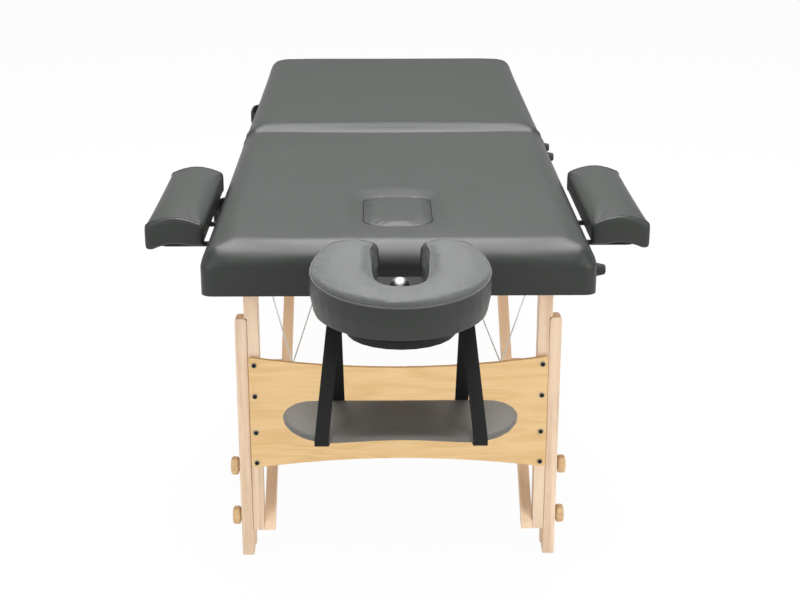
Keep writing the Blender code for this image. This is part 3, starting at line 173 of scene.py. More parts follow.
class Finish(Tree):
    """A material put together on the Principled shader."""

    def __init__(self, name, **even):
        self.material = bpy.data.materials.new(name)
        self.material.use_nodes = True
        super().__init__(self.material.node_tree)
        self.shader = self.tree.nodes["Principled BSDF"]
        for socket, value in even.items():
            self.shader.inputs[socket.replace("_", " ")].default_value = value
        self.place = self.node("ShaderNodeTexCoord", out="Object")

    def feed(self, **uneven):
        for socket, value in uneven.items():
            self.tree.links.new(value.socket, self.shader.inputs[socket.replace("_", " ")])

    def cells(self, size, turn=(0.0, 0.0, 0.0)):
        """Object coordinates counted in cells of a size in metres, turned."""
        return self.node("ShaderNodeMapping", {"vector_type": "TEXTURE"},
                         {"Vector": self.place, "Rotation": turn, "Scale": size})

    def along_ends(self, ends, sides):
        """One set of cells on faces that look along the table, and another on the rest."""
        facing = self.node("ShaderNodeTexCoord", out="Normal")
        toward = self.node("ShaderNodeSeparateXYZ", None, {0: facing}, out="Y")
        square = toward * toward
        share = square.join("GREATER_THAN", square, 0.5)
        return self.node("ShaderNodeMix", {"data_type": "VECTOR"}, {0: share, 4: sides, 5: ends}, out=1)

    def noise(self, cells, detail=2.0, roughness=0.5, distortion=0.0):
        return self.node("ShaderNodeTexNoise", None, {
            "Vector": cells, "Scale": 1.0, "Detail": detail, "Roughness": roughness,
            "Distortion": distortion})

    def pebbles(self, cells):
        return self.node("ShaderNodeTexVoronoi", {"feature": "F1"}, {"Vector": cells, "Scale": 1.0})

    def bump(self, height, depth):
        self.feed(Normal=self.node("ShaderNodeBump", None, {
            "Strength": 1.0, "Distance": depth, "Height": height}))


def even_cells(size):
    """Cells as long as they are wide and high."""
    return (size, size, size)


def light_studio():
    """White room: soft light all round, one big soft box overhead and two in front."""
    scene.view_settings.view_transform = "Standard"
    world = bpy.data.worlds.new("studio")
    scene.world = world
    world.use_nodes = True
    room = Tree(world.node_tree)
    room.tree.nodes.clear()
    # The room lights the table softly, is dim in its gloss, and is white behind it.
    soft, in_gloss = 0.42, 0.20
    glow = room.node("ShaderNodeBackground", None, {
        "Color": (1.0, 1.0, 1.0, 1.0), "Strength": soft + room.seen(in_gloss) * (1.0 - soft)})
    room.node("ShaderNodeOutputWorld", None, {"Surface": glow})
    top, head_end = (0.0, 0.1001, 0.5), (0.0, -0.4, 0.35)
    hang_lamp("soft_box_overhead", (0.0, 0.1, 3.1), top, (1.9, 3.4), 190.0)
    hang_lamp("soft_box_front_left", (-2.6, -3.4, 2.0), head_end, (2.0, 2.0), 42.0)
    hang_lamp("soft_box_front_right", (2.8, -3.2, 1.7), head_end, (2.0, 2.0), 58.0)


def lay_floor():
    """Pale floor that keeps a little of the table's shadow."""
    floor = start("floor", bpy.ops.mesh.primitive_plane_add, size=40.0, location=(0.0, 0.0, -0.0005))
    finish = Finish("floor_white", Roughness=0.9)
    dust = finish.noise(finish.cells(even_cells(0.6)), detail=3.0)
    finish.feed(Base_Color=finish.mix(dust, (0.80, 0.80, 0.80, 1.0), (0.84, 0.84, 0.84, 1.0)))
    glow = finish.node("ShaderNodeEmission", None, {"Color": (1.0, 1.0, 1.0, 1.0), "Strength": 1.0})
    lit = Value(finish, finish.shader.outputs[0])
    white = 0.96  # share of plain white where the floor is looked at
    blend = finish.node("ShaderNodeMixShader", None, {0: finish.seen() * white, 1: lit, 2: glow})
    finish.tree.links.new(blend.socket, finish.tree.nodes["Material Output"].inputs["Surface"])
    floor.data.materials.append(finish.material)


# ------------------------------------------------------------------ finishes

def leather(name, dark, light, rough=0.40, pebble=0.0011, depth=0.00030):
    """Soft upholstery leather: cloudy colour, fine pebbles, shallow creases and dents."""
    finish = Finish(name, Specular_IOR_Level=0.40)
    cloud = finish.noise(finish.cells(even_cells(0.23)), detail=3.0)
    grain = finish.pebbles(finish.cells(even_cells(pebble)))
    crease = finish.noise(finish.cells(even_cells(0.011)), detail=5.0, roughness=0.62, distortion=0.6)
    dent = finish.noise(finish.cells(even_cells(0.085)), detail=1.5)
    worn = cloud * 0.7 + crease * 0.3
    finish.feed(Base_Color=finish.mix(worn, dark, light), Roughness=rough - 0.05 + worn * 0.14)
    finish.bump(grain * 0.5 + crease * 0.8 + dent * 2.4, depth)
    return finish.material


def beech(name, colour, cells, turn=(0.0, 0.0, 0.0), contrast=1.0, end_turn=None):
    """Pale wood: long bands, short dark flecks and fine pores along the grain. cells is the size of a band
    across and along; end_turn lays the grain another way on rails that face along the table."""
    finish = Finish(name, Specular_IOR_Level=0.38)
    across, along = cells

    def grain(wide, long):
        size = (across * wide, across * wide, along * long)
        laid = finish.cells(size, turn)
        return laid if end_turn is None else finish.along_ends(finish.cells(size, end_turn), laid)

    band = finish.noise(grain(1.0, 1.0), detail=3.5, distortion=0.35)
    fleck = finish.noise(grain(0.10, 0.09), detail=2.0)
    pore = finish.noise(grain(0.045, 0.20), detail=2.0)
    tone = band * 0.62 + fleck * 0.22 + pore * 0.16
    shade = [tuple(c * k for c, k in zip(colour, ks)) + (1.0,) for ks in (
        (1 - 0.22 * contrast, 1 - 0.28 * contrast, 1 - 0.34 * contrast),
        (1.0, 1.0, 1.0),
        (1 + 0.09 * contrast, 1 + 0.11 * contrast, 1 + 0.14 * contrast))]
    finish.feed(Base_Color=finish.ramp(tone, (0.30, shade[0]), (0.52, shade[1]), (0.72, shade[2])),
                Roughness=0.40 + pore * 0.16)
    finish.bump(pore * 0.7 + fleck * 0.3, 0.00003)
    return finish.material


def panel_veneer():
    """Flat-cut veneer with broad flame figure lying across the panel."""
    finish = Finish("panel_veneer", Specular_IOR_Level=0.40)
    sway = finish.noise(finish.cells((0.42, 0.26, 0.062)), detail=2.5, distortion=0.4)
    wave = finish.node("ShaderNodeMath", {"operation": "SINE"}, {0: sway * 46.0})
    fine = finish.noise(finish.cells((0.055, 0.004, 0.0028)), detail=3.0)
    pore = finish.noise(finish.cells((0.018, 0.0012, 0.0009)), detail=2.0)
    tone = wave * 0.12 + fine * 0.47 + pore * 0.25 + 0.15
    finish.feed(Base_Color=finish.ramp(
        tone, (0.22, (0.685, 0.430, 0.182, 1.0)), (0.50, (0.750, 0.502, 0.233, 1.0)),
        (0.78, (0.81, 0.575, 0.300, 1.0))), Roughness=0.36 + pore * 0.18)
    finish.bump(pore * 0.7 + fine * 0.4, 0.00012)
    return finish.material


def brushed_metal(name, colour, rough, metallic=1.0):
    """Drawn bar or plate: faint streaks and dull patches."""
    finish = Finish(name, Metallic=metallic)
    patch = finish.noise(finish.cells(even_cells(0.035)), detail=3.0)
    streak = finish.noise(finish.cells((0.05, 0.0009, 0.0009)), detail=2.0)
    finish.feed(Base_Color=finish.mix(patch, tuple(c * 0.86 for c in colour) + (1.0,), colour + (1.0,)),
                Roughness=rough + patch * 0.10 + streak * 0.08)
    finish.bump(streak, 0.00003)
    return finish.material


def powder_coat():
    """Black powder coat with a fine orange-peel skin."""
    finish = Finish("black_powder_coat", Specular_IOR_Level=0.2)
    peel = finish.noise(finish.cells(even_cells(0.0016)), detail=2.0)
    patch = finish.noise(finish.cells(even_cells(0.05)), detail=2.0)
    finish.feed(Base_Color=finish.mix(patch, (0.006, 0.006, 0.007, 1.0), (0.011, 0.011, 0.012, 1.0)),
                Roughness=0.36 + patch * 0.16)
    finish.bump(peel, 0.00010)
    return finish.material


def webbing():
    """Black woven strap: ribs across it, fine threads along it."""
    finish = Finish("black_webbing", Specular_IOR_Level=0.22)
    rib = finish.node("ShaderNodeTexWave", {"bands_direction": "Z"}, {
        "Vector": finish.cells(even_cells(0.0032)), "Scale": 0.314, "Distortion": 0.4}, out="Fac")
    thread = finish.node("ShaderNodeTexWave", {"bands_direction": "X"}, {
        "Vector": finish.cells(even_cells(0.0024)), "Scale": 0.314, "Distortion": 0.2}, out="Fac")
    fuzz = finish.noise(finish.cells(even_cells(0.004)), detail=3.0)
    finish.feed(Base_Color=finish.mix(rib * 0.6 + fuzz * 0.4, (0.005, 0.005, 0.006, 1.0),
                                      (0.016, 0.017, 0.016, 1.0)), Roughness=0.66 + fuzz * 0.2)
    finish.bump(rib * 0.7 + thread * 0.5, 0.00035)
    return finish.material


def rubber():
    """Matt black rubber with a dusty bloom."""
    finish = Finish("black_rubber", Specular_IOR_Level=0.35)
    bloom = finish.noise(finish.cells(even_cells(0.008)), detail=4.0)
    finish.feed(Base_Color=finish.mix(bloom, (0.012, 0.012, 0.012, 1.0), (0.030, 0.029, 0.028, 1.0)),
                Roughness=0.58 + bloom * 0.2)
    finish.bump(bloom, 0.00012)
    return finish.material


def wire_rope():
    """Thin twisted steel wire under a clear, slightly grey sheath."""
    finish = Finish("wire_rope", Specular_IOR_Level=0.5)
    twist = finish.node("ShaderNodeTexWave", {"bands_direction": "DIAGONAL"}, {
        "Vector": finish.cells(even_cells(0.0022)), "Scale": 0.5, "Distortion": 0.3}, out="Fac")
    finish.feed(Base_Color=finish.mix(twist, (0.52, 0.53, 0.54, 1.0), (0.76, 0.77, 0.78, 1.0)),
                Roughness=0.30 + twist * 0.15)
    finish.bump(twist, 0.00015)
    return finish.material


BRACE_TURN = math.atan2(0.641, 0.5045)  # from upright, by the brace's run and rise
QUARTER = math.pi / 2
BEECH = (0.80, 0.61, 0.445)
# Lighter beech for the braces: painted light making up for the shade they sit in.
BRACE_BEECH_PAINTED_LIGHT = (0.88, 0.66, 0.465)
BEECH_CELLS = (0.011, 0.26)
LEATHER = leather("table_leather", (0.017, 0.020, 0.017, 1.0), (0.029, 0.032, 0.029, 1.0), rough=0.40)
# Cushion leather is lighter than the table's. The lighter colour is painted sheen from the overhead light;
# the higher roughness is its own.
CUSHION_LEATHER_PAINTED_LIGHT = leather("cushion_leather_painted_light", (0.066, 0.070, 0.068, 1.0), (0.096, 0.100, 0.098, 1.0),
                          rough=0.58, pebble=0.0009, depth=0.00042)
SHELF_LEATHER = leather("shelf_leather", (0.104, 0.099, 0.086, 1.0), (0.140, 0.134, 0.120, 1.0), rough=0.50)
BEECH_UP = beech("beech_upright", BEECH, BEECH_CELLS)
BEECH_ACROSS = beech("beech_across", BEECH, BEECH_CELLS, (0.0, QUARTER, 0.0))
BEECH_LENGTH = beech("beech_lengthwise", BEECH, BEECH_CELLS, (QUARTER, 0.0, 0.0),
                     end_turn=(0.0, QUARTER, 0.0))
# The braces take the lightened beech, painted light for their shade.
BEECH_BRACE = {end: beech("beech_brace_%s" % END_NAMES[end], BRACE_BEECH_PAINTED_LIGHT, BEECH_CELLS,
                          (end * BRACE_TURN, 0.0, 0.0), contrast=0.45) for end in ENDS}
KNOB_WOOD = beech("knob_wood", (0.645, 0.430, 0.225), (0.006, 0.05), (0.0, QUARTER, 0.0), contrast=0.8)
DECK_WOOD = beech("deck_plywood", (0.60, 0.44, 0.28), (0.016, 0.30), (QUARTER, 0.0, 0.0), contrast=0.9)
PANEL_WOOD = panel_veneer()
STEEL = brushed_metal("drawn_steel", (0.56, 0.56, 0.57), 0.30)
CHROME = brushed_metal("chrome_plate", (0.74, 0.74, 0.75), 0.20)
SCREW_STEEL = brushed_metal("screw_steel", (0.34, 0.33, 0.31), 0.32)
BLACK_STEEL = powder_coat()
WEBBING = webbing()
RUBBER = rubber()
WIRE = wire_rope()


# ------------------------------------------------------------------ bench work

def alone(piece):
    """Select one piece and nothing else."""
    bpy.ops.object.select_all(action="DESELECT")
    piece.select_set(True)
    bpy.context.view_layer.objects.active = piece


def start(name, add, **shape):
    """Add a primitive at its size and place under its own name."""
    bpy.ops.object.select_all(action="DESELECT")
    add(**shape)
    piece = bpy.context.object
    piece.name = piece.data.name = name
    bpy.ops.object.transform_apply(location=True, rotation=True, scale=True)
    return piece


def block(name, low, high):
    """A plain block between two corners, to be shaped further."""
    low, high = Vector(low), Vector(high)
    return start(name, bpy.ops.mesh.primitive_cube_add, size=1.0, location=(low + high) / 2, scale=high - low)


def edit(piece):
    """Open one piece for editing."""
    alone(piece)
    bpy.ops.object.mode_set(mode="EDIT")


def done():
    bpy.ops.object.mode_set(mode="OBJECT")


def pick(kind, test):
    """In edit mode, select the faces, edges or points that pass a test."""
    bpy.ops.mesh.select_mode(type=kind)
    bpy.ops.mesh.select_all(action="DESELECT")
    data = bpy.context.object.data
    mesh = bmesh.from_edit_mesh(data)
    for item in {"VERT": mesh.verts, "EDGE": mesh.edges, "FACE": mesh.faces}[kind]:
        if test(item):
            item.select_set(True)
    mesh.select_flush_mode()
    bmesh.update_edit_mesh(data)


def heart(item):
    """Middle of an edge or a face."""
    return sum((corner.co for corner in item.verts), Vector()) / len(item.verts)


def run(edge):
    """Direction of an edge."""
    return (edge.verts[1].co - edge.verts[0].co).normalized()


def apply(piece, kind, **settings):
    """Finish a piece with one modifier."""
    alone(piece)
    modifier = piece.modifiers.new(kind.lower(), kind)
    for name, value in settings.items():
        setattr(modifier, name, value)
    bpy.ops.object.modifier_apply(modifier=modifier.name)


def cut(piece, tool):
    """Take a tool's shape out of a piece and put the tool away."""
    apply(piece, "BOOLEAN", operation="DIFFERENCE", solver="EXACT", object=tool)
    bpy.data.objects.remove(tool)


def smooth(piece, degrees):
    """Shade a piece smooth, but for edges sharper than an angle."""
    alone(piece)
    bpy.ops.object.shade_smooth_by_angle(angle=math.radians(degrees))


def copied(piece, name, turn=None):
    """A copy with its own mesh, set in its place."""
    twin = piece.copy()
    twin.data = piece.data.copy()
    twin.name = twin.data.name = name
    scene.collection.objects.link(twin)
    if turn is not None:
        twin.data.transform(turn)
        if turn.determinant() < 0:
            twin.data.flip_normals()
    return twin


def copied_solid(node, name):
    """A copy of a solid's mesh, its loose triangles merged."""
    piece = bpy.data.objects.new(name, solids[node].data.copy())
    piece.data.name = name
    scene.collection.objects.link(piece)
    edit(piece)
    bpy.ops.mesh.select_all(action="SELECT")
    bpy.ops.mesh.remove_doubles(threshold=0.00002)
    bpy.ops.mesh.normals_make_consistent(inside=False)
    done()
    return piece


def fit(piece, finish, slot, body, *stands_for):
    """Give a piece its finish and its body, and say which solids it stands for."""
    piece.data.materials.clear()
    piece.data.materials.append(finish)
    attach(piece, body)
    if stands_for:
        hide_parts(*stands_for)
    return piece


def points_of(piece):
    """A mesh's points as rows."""
    rows = np.empty(len(piece.data.vertices) * 3)
    piece.data.vertices.foreach_get("co", rows)
    return rows.reshape(-1, 3)


def normals_of(piece):
    """The directions that a mesh's points face, as rows."""
    rows = np.empty(len(piece.data.vertices) * 3)
    piece.data.vertices.foreach_get("normal", rows)
    return rows.reshape(-1, 3)


def move_points(piece, rows):
    """Set a mesh's points from rows."""
    piece.data.vertices.foreach_set("co", np.ascontiguousarray(rows).ravel())
    piece.data.update()


def swell(piece, pressure, most, held, frames=20):
    """Blow a cover up with its held points fast, no point going further than a limit."""
    before = points_of(piece)
    alone(piece)
    group = piece.vertex_groups.new(name="held")
    group.add([int(i) for i in np.nonzero(held)[0]], 1.0, "REPLACE")
    cloth = piece.modifiers.new("stuffing", "CLOTH")
    skin = cloth.settings
    skin.use_pressure = True
    skin.uniform_pressure_force = pressure
    skin.effector_weights.gravity = 0.0
    skin.vertex_group_mass = "held"
    cloth.point_cache.frame_start = 1
    cloth.point_cache.frame_end = frames
    for count in range(1, frames + 1):
        scene.frame_set(count)
    bpy.ops.object.modifier_apply(modifier=cloth.name)
    scene.frame_set(1)
    piece.vertex_groups.clear()
    moves = points_of(piece) - before
    lengths = np.linalg.norm(moves, axis=1, keepdims=True)
    move_points(piece, before + moves * np.minimum(1.0, most / np.maximum(lengths, 1e-9)))


def relax(piece, held, passes):
    """Ease the small puckers out of a cover, away from its held points."""
    group = piece.vertex_groups.new(name="free")
    group.add([int(i) for i in np.nonzero(~held)[0]], 1.0, "REPLACE")
    apply(piece, "SMOOTH", factor=0.5, iterations=passes, vertex_group="free")
    piece.vertex_groups.clear()


def tube(name, points, radius, closed=False, rings=2):
    """Round cord along a line of points, as a mesh."""
    line = bpy.data.curves.new(name, "CURVE")
    line.dimensions = "3D"
    line.bevel_depth = radius
    line.bevel_resolution = rings
    line.use_fill_caps = not closed
    spline = line.splines.new("POLY")
    spline.points.add(len(points) - 1)
    for knot, point in zip(spline.points, points):
        knot.co = (*point, 1.0)
    spline.use_cyclic_u = closed
    piece = bpy.data.objects.new(name, line)
    scene.collection.objects.link(piece)
    alone(piece)
    bpy.ops.object.convert(target="MESH")
    piece = bpy.context.object
    piece.name = piece.data.name = name
    smooth(piece, 60.0)
    return piece


def seam(piece, name, at, facing, radius):
    """Welt along the line where a plane meets a cover."""
    line = copied(piece, name)
    line.data.materials.clear()
    edit(line)
    bpy.ops.mesh.select_all(action="SELECT")
    bpy.ops.mesh.bisect(plane_co=at, plane_no=facing, clear_inner=True, clear_outer=True)
    done()
    alone(line)
    bpy.ops.object.convert(target="CURVE")
    line = bpy.context.object
    line.data.bevel_depth = radius
    line.data.bevel_resolution = 2
    bpy.ops.object.convert(target="MESH")
    line = bpy.context.object
    line.name = line.data.name = name
    smooth(line, 60.0)
    return line


def soft_copy(node, name, voxel, inward, iterations=4):
    """Soft start for a cover: a solid's shape remeshed, eased and drawn in a little."""
    piece = copied_solid(node, name)
    apply(piece, "REMESH", mode="VOXEL", voxel_size=voxel)
    apply(piece, "SMOOTH", factor=0.5, iterations=iterations)
    move_points(piece, points_of(piece) - normals_of(piece) * inward)
    return piece


# ------------------------------------------------------------------ tension cables

def cable_route(end, side):
    """Line of one half cable: end rail, brace elbow, fold, with the elbow eased."""
    anchor = Vector((side * 0.2175, FOLD_Y + end * 0.9185, 0.5383))
    elbow = Vector((side * 0.2072, FOLD_Y + end * 0.5657, 0.2748))
    fold = Vector((side * 0.1860, FOLD_Y + end * 0.0002, 0.2280))
    ease, bend_steps, fold_steps = 0.035, 8, 10
    before = elbow + (anchor - elbow).normalized() * ease
    after = elbow + (fold - elbow).normalized() * ease
    route = [anchor.lerp(before, step / bend_steps) for step in range(bend_steps)]
    for step in range(bend_steps + 1):
        share = step / bend_steps
        route.append(before.lerp(elbow, share).lerp(elbow.lerp(after, share), share))
    route += [after.lerp(fold, step / fold_steps) for step in range(1, fold_steps + 1)]
    return route


def string_cables():
    """Four half cables, each a fixed line riding on its own half of the table; nothing draws them up against
    the rim while the table folds.
    """
    thickness = 0.0028
    for end in ENDS:
        for side in SIDES:
            node = "%s_cable_%s" % (END_NAMES[end], SIDE_NAMES[side])
            route = cable_route(end, side)
            cable = tube(node + "_wire", route, thickness / 2)
            length = sum((b - a).length for a, b in zip(route, route[1:]))
            fit(cable, WIRE, "steel", END_NAMES[end] + "_half", node)
            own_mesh(cable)


# ------------------------------------------------------------------ upholstery

def rounded_box(name, low, high, corner, top=0.0):
    """Block with its upright corners rounded and, if asked for, its top edge rolled over."""
    piece = block(name, low, high)
    edit(piece)
    pick("EDGE", lambda e: abs(run(e).z) > 0.9)
    bpy.ops.mesh.bevel(offset=corner, offset_type="OFFSET", segments=8, affect="EDGES")
    if top:
        pick("EDGE", lambda e: all(v.co.z > high[2] - 1e-5 for v in e.verts))
        bpy.ops.mesh.bevel(offset=top, offset_type="OFFSET", segments=6, affect="EDGES")
    bpy.ops.mesh.select_all(action="SELECT")
    bpy.ops.mesh.normals_make_consistent(inside=False)
    done()
    return piece


def face_hole_tool(grow, low, high):
    """Tool in the shape of the face hole."""
    near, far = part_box("face_plug")
    return rounded_box("face_hole_tool", (near.x - grow, near.y - grow, low),
                       (far.x + grow, far.y + grow, high), 0.045)


def drawn_to_outline(rows, low, high):
    """Pull the skirt's points on to the frame's upright outline, round at its outer end and square at the
    fold, and let that fade out above the pad's base."""
    corner, most_pull = 0.020, 0.013
    fold_zone, tip_share = 0.035, 0.62
    upto, fade, fold_fade = PAD_BASE + 0.001, 0.010, 0.024
    centre = np.array([(low.x + high.x) / 2, (low.y + high.y) / 2])
    half = np.array([(high.x - low.x) / 2, (high.y - low.y) / 2])
    flat = rows[:, :2] - centre
    core = np.clip(flat, -(half - corner), half - corner)
    away = flat - core
    reach = np.linalg.norm(away, axis=1)
    at_fold = np.abs(rows[:, 1] - FOLD_Y) < fold_zone
    sides = np.abs(away)
    reach[at_fold] = sides[at_fold].max(axis=1)
    above = rows[:, 2] - upto
    share = np.clip(1.0 - above / np.where(at_fold, fold_fade, fade), 0.0, 1.0)
    share *= np.abs(corner - reach) < most_pull
    target = away / np.maximum(reach, 1e-9)[:, None] * corner
    tip = at_fold & (sides.min(axis=1) > tip_share * reach)
    target[tip] = np.sign(away[tip]) * corner
    rows[:, :2] += (core + target + centre - rows[:, :2]) * share[:, None]
    return rows


def upholster_half(end):
    """One padded half: leather over foam, pulled down over the frame to the rim."""
    name = END_NAMES[end]
    pad_low, pad_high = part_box(name + "_pad")
    frame_low, frame_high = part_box(name + "_frame")
    spare, crown = 0.014, 0.0055
    low = Vector((-TABLE_HALF, pad_low.y, RIM - spare))
    high = Vector((TABLE_HALF, pad_high.y, pad_high.z - 0.0035))
    cover = rounded_box(name + "_cover", low, high, 0.031, 0.028)
    if end == HEAD:
        cut(cover, face_hole_tool(-0.0005, PAD_BASE - 0.012, high.z + 0.02))
    apply(cover, "REMESH", mode="VOXEL", voxel_size=0.007)
    apply(cover, "SMOOTH", factor=0.5, iterations=3)
    # The leather is held on the frame, at the fold and round the face hole.
    margin = 0.004
    rows = points_of(cover)
    held = (rows[:, 2] < PAD_BASE + margin) | (np.abs(rows[:, 1] - FOLD_Y) < 0.003)
    if end == HEAD:
        hole_low, hole_high = (np.array(corner)[:2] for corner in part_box("face_plug"))
        held |= np.all((rows[:, :2] > hole_low - margin) & (rows[:, :2] < hole_high + margin), axis=1)
    swell(cover, 3.0, crown, held, frames=12)
    relax(cover, held, 10)
    move_points(cover, drawn_to_outline(points_of(cover), low, high))
    # Trim the spare leather along the rim.
    edit(cover)
    bpy.ops.mesh.select_all(action="SELECT")
    bpy.ops.mesh.remove_doubles(threshold=0.0003)
    bpy.ops.mesh.dissolve_degenerate(threshold=0.0002)
    bpy.ops.mesh.select_all(action="SELECT")
    bpy.ops.mesh.bisect(plane_co=(0.0, 0.0, RIM + 0.0006), plane_no=(0.0, 0.0, 1.0),
                        use_fill=True, clear_inner=True)
    done()
    # Open the underside, so that the leather hangs round the frame as a thin skirt.
    gap, clear = 0.0003, 0.03
    if end == HEAD:
        near, far = frame_low.y - gap, pad_high.y + clear
    else:
        near, far = pad_low.y - clear, frame_high.y + gap
    cut(cover, rounded_box("tray_tool", (frame_low.x - gap, near, RIM - clear),
                           (frame_high.x + gap, far, PAD_BASE), 0.0215))
    smooth(cover, 50.0)
    fit(cover, LEATHER, "leather", name + "_half", name + "_pad")


def stuff_plug():
    """Padded plug in the face hole, its rim rolled and welted."""
    low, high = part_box("face_plug")
    plug = rounded_box("face_plug_cover", low, high, 0.0447, 0.0055)
    apply(plug, "REMESH", mode="VOXEL", voxel_size=0.004)
    apply(plug, "SMOOTH", factor=0.5, iterations=1)
    swell(plug, 3.5, 0.0025, points_of(plug)[:, 2] < high.z - 0.004, frames=12)
    apply(plug, "SUBSURF", levels=1, render_levels=1)
    smooth(plug, 60.0)
    fit(plug, LEATHER, "leather", "plug", "face_plug")
    welt = seam(plug, "face_plug_welt", (0.0, 0.0, high.z - 0.0032), (0.0, 0.0, 1.0), 0.0017)
    fit(welt, LEATHER, "leather", "plug")


def pleat_slot(cushion):
    """Slanting pleats in the wall of the slot, where the cover is pulled round the tight bend."""
    rows, sides = points_of(cushion), normals_of(cushion)
    pleat_y = middle("cradle_clamp").y + 0.020
    spread, spacing, slant, depth = 0.085, 0.017, 0.030, 0.0022
    slot_half = 0.075
    height = rows @ np.array(CRADLE_UP)
    height = (height - height.min()) / np.ptp(height)
    upright = np.clip(1.0 - np.abs(sides @ np.array(CRADLE_UP)) / 0.6, 0.0, 1.0)
    inward = np.clip(-np.sign(rows[:, 0]) * sides[:, 0] * 2.0, 0.0, 1.0)
    inward *= np.abs(rows[:, 0]) < slot_half
    near = np.clip(1.0 - np.abs(rows[:, 1] - pleat_y) / spread, 0.0, 1.0)
    band = np.clip(np.minimum(height - 0.35, 0.92 - height) / 0.12, 0.0, 1.0)
    wave = np.sin(2 * math.pi * (rows[:, 1] + slant * height) / spacing)
    move_points(cushion, rows + sides * (depth * wave * upright * inward * near * band)[:, None])


def stuff_cushion():
    """Horseshoe face cushion: flat matt top, bulging wall, welted top edge."""
    cushion = soft_copy("cradle_cushion", "cradle_cushion_cover", 0.004, 0.002, 3)
    lean = normals_of(cushion) @ np.array(CRADLE_UP)
    swell(cushion, 3.0, 0.004, lean < -0.75, frames=16)
    pleat_slot(cushion)
    apply(cushion, "SUBSURF", levels=1, render_levels=1)
    smooth(cushion, 60.0)
    # The welt's plane lies just under the crown, at the horns and in front alike.
    rows = points_of(cushion)
    heights, stations = rows @ np.array(CRADLE_UP), rows @ np.array(CRADLE_LEVEL)
    length = np.ptp(stations)
    horns = stations > stations.min() + 0.55 * length
    bend = (stations < stations.min() + 0.25 * length) & (np.abs(rows[:, 0]) < 0.03)
    crest = [(stations[part][heights[part].argmax()], heights[part].max()) for part in (bend, horns)]
    slope = (crest[1][1] - crest[0][1]) / (crest[1][0] - crest[0][0])
    below_crown = 0.0125
    at = CRADLE_LEVEL * float(crest[0][0]) + CRADLE_UP * float(crest[0][1] - below_crown)
    plane = (CRADLE_UP - CRADLE_LEVEL * float(slope)).normalized()
    welt = seam(cushion, "cradle_cushion_welt", at, plane, 0.0016)
    # The welt takes the lighter leather, a painted highlight line along the top edge.
    fit(welt, CUSHION_LEATHER_PAINTED_LIGHT, "leather", "cradle_head")
    edit(cushion)
    bpy.ops.mesh.select_all(action="SELECT")
    bpy.ops.mesh.bisect(plane_co=at, plane_no=plane)
    done()
    # Faces above the welt take the lighter leather, which is painted sheen on the top. The wall below keeps
    # the table leather.
    fit(cushion, LEATHER, "leather", "cradle_head", "cradle_cushion")
    cushion.data.materials.append(CUSHION_LEATHER_PAINTED_LIGHT)
    for face in cushion.data.polygons:
        face.material_index = int((Vector(face.center) - at).dot(plane) > 0.0)


def stuff_armrests():
    """Curved arm pads with a welt round each end."""
    for side in SIDES:
        name = "armrest_pad_" + SIDE_NAMES[side]
        body = "armrest_" + SIDE_NAMES[side]
        low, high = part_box(name)
        pad = soft_copy(name, name + "_cover", 0.004, 0.0012, 7)
        # The cover draws the outer side in, and its outer hem hangs below the rod under the pad.
        hem_height, hem_drop, draw_in = 0.030, 0.007, 0.93
        rows = points_of(pad)
        inner = min(abs(low.x), abs(high.x))
        across = np.abs(rows[:, 0]) - inner
        lower = np.clip((low.z + hem_height - rows[:, 2]) / hem_height, 0.0, 1.0)
        rows[:, 2] -= hem_drop * lower * np.clip((across - 0.012) / 0.020, 0.0, 1.0)
        rows[:, 0] = side * (inner + across * draw_in)
        move_points(pad, rows)
        lean = normals_of(pad)
        swell(pad, 3.0, 0.004, (lean[:, 2] < 0.12) | (np.abs(lean[:, 1]) > 0.9), frames=12)
        apply(pad, "SUBSURF", levels=1, render_levels=1)
        smooth(pad, 60.0)
        fit(pad, LEATHER, "leather", body, name)
        inset = 0.0075
        for place, station in (("front", low.y + inset), ("back", high.y - inset)):
            welt = seam(pad, "%s_%s_welt" % (name, place), (0.0, station, 0.0), (0.0, 1.0, 0.0), 0.0013)
            fit(welt, LEATHER, "leather", body)


def stuff_shelf():
    """Padded arm shelf, pinched where the straps pass under it."""
    shelf = soft_copy("sling_shelf", "sling_shelf_cover", 0.0035, 0.0006, 6)
    # Squarer corners behind, long sweeping ones in front.
    solid_round, back_round, front_round = 0.060, 0.042, 0.096
    low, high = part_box("sling_shelf")
    rows = points_of(shelf)
    half, depth, centre = (high.x - low.x) / 2, (high.y - low.y) / 2, (low.y + high.y) / 2

    def edge_at(round_off):
        share = np.clip((np.abs(rows[:, 0]) - half + round_off) / round_off, 0.0, 1.0)
        return depth - round_off * (1.0 - np.sqrt(1.0 - share * share))

    along = (rows[:, 1] - centre) / edge_at(solid_round)
    back, front = edge_at(back_round), -edge_at(front_round)
    rows[:, 1] = centre + front + (back - front) * (along + 1.0) / 2.0
    move_points(shelf, rows)
    lean = normals_of(shelf)
    strap_at, strap_half = 0.115, 0.026
    straps = np.abs(np.abs(rows[:, 0]) - strap_at) < strap_half
    swell(shelf, 3.0, 0.0025, straps | (lean[:, 2] < -0.5), frames=8)
    apply(shelf, "SUBSURF", levels=1, render_levels=1)
    smooth(shelf, 60.0)
    fit(shelf, SHELF_LEATHER, "shelf_leather", "sling", "sling_shelf")


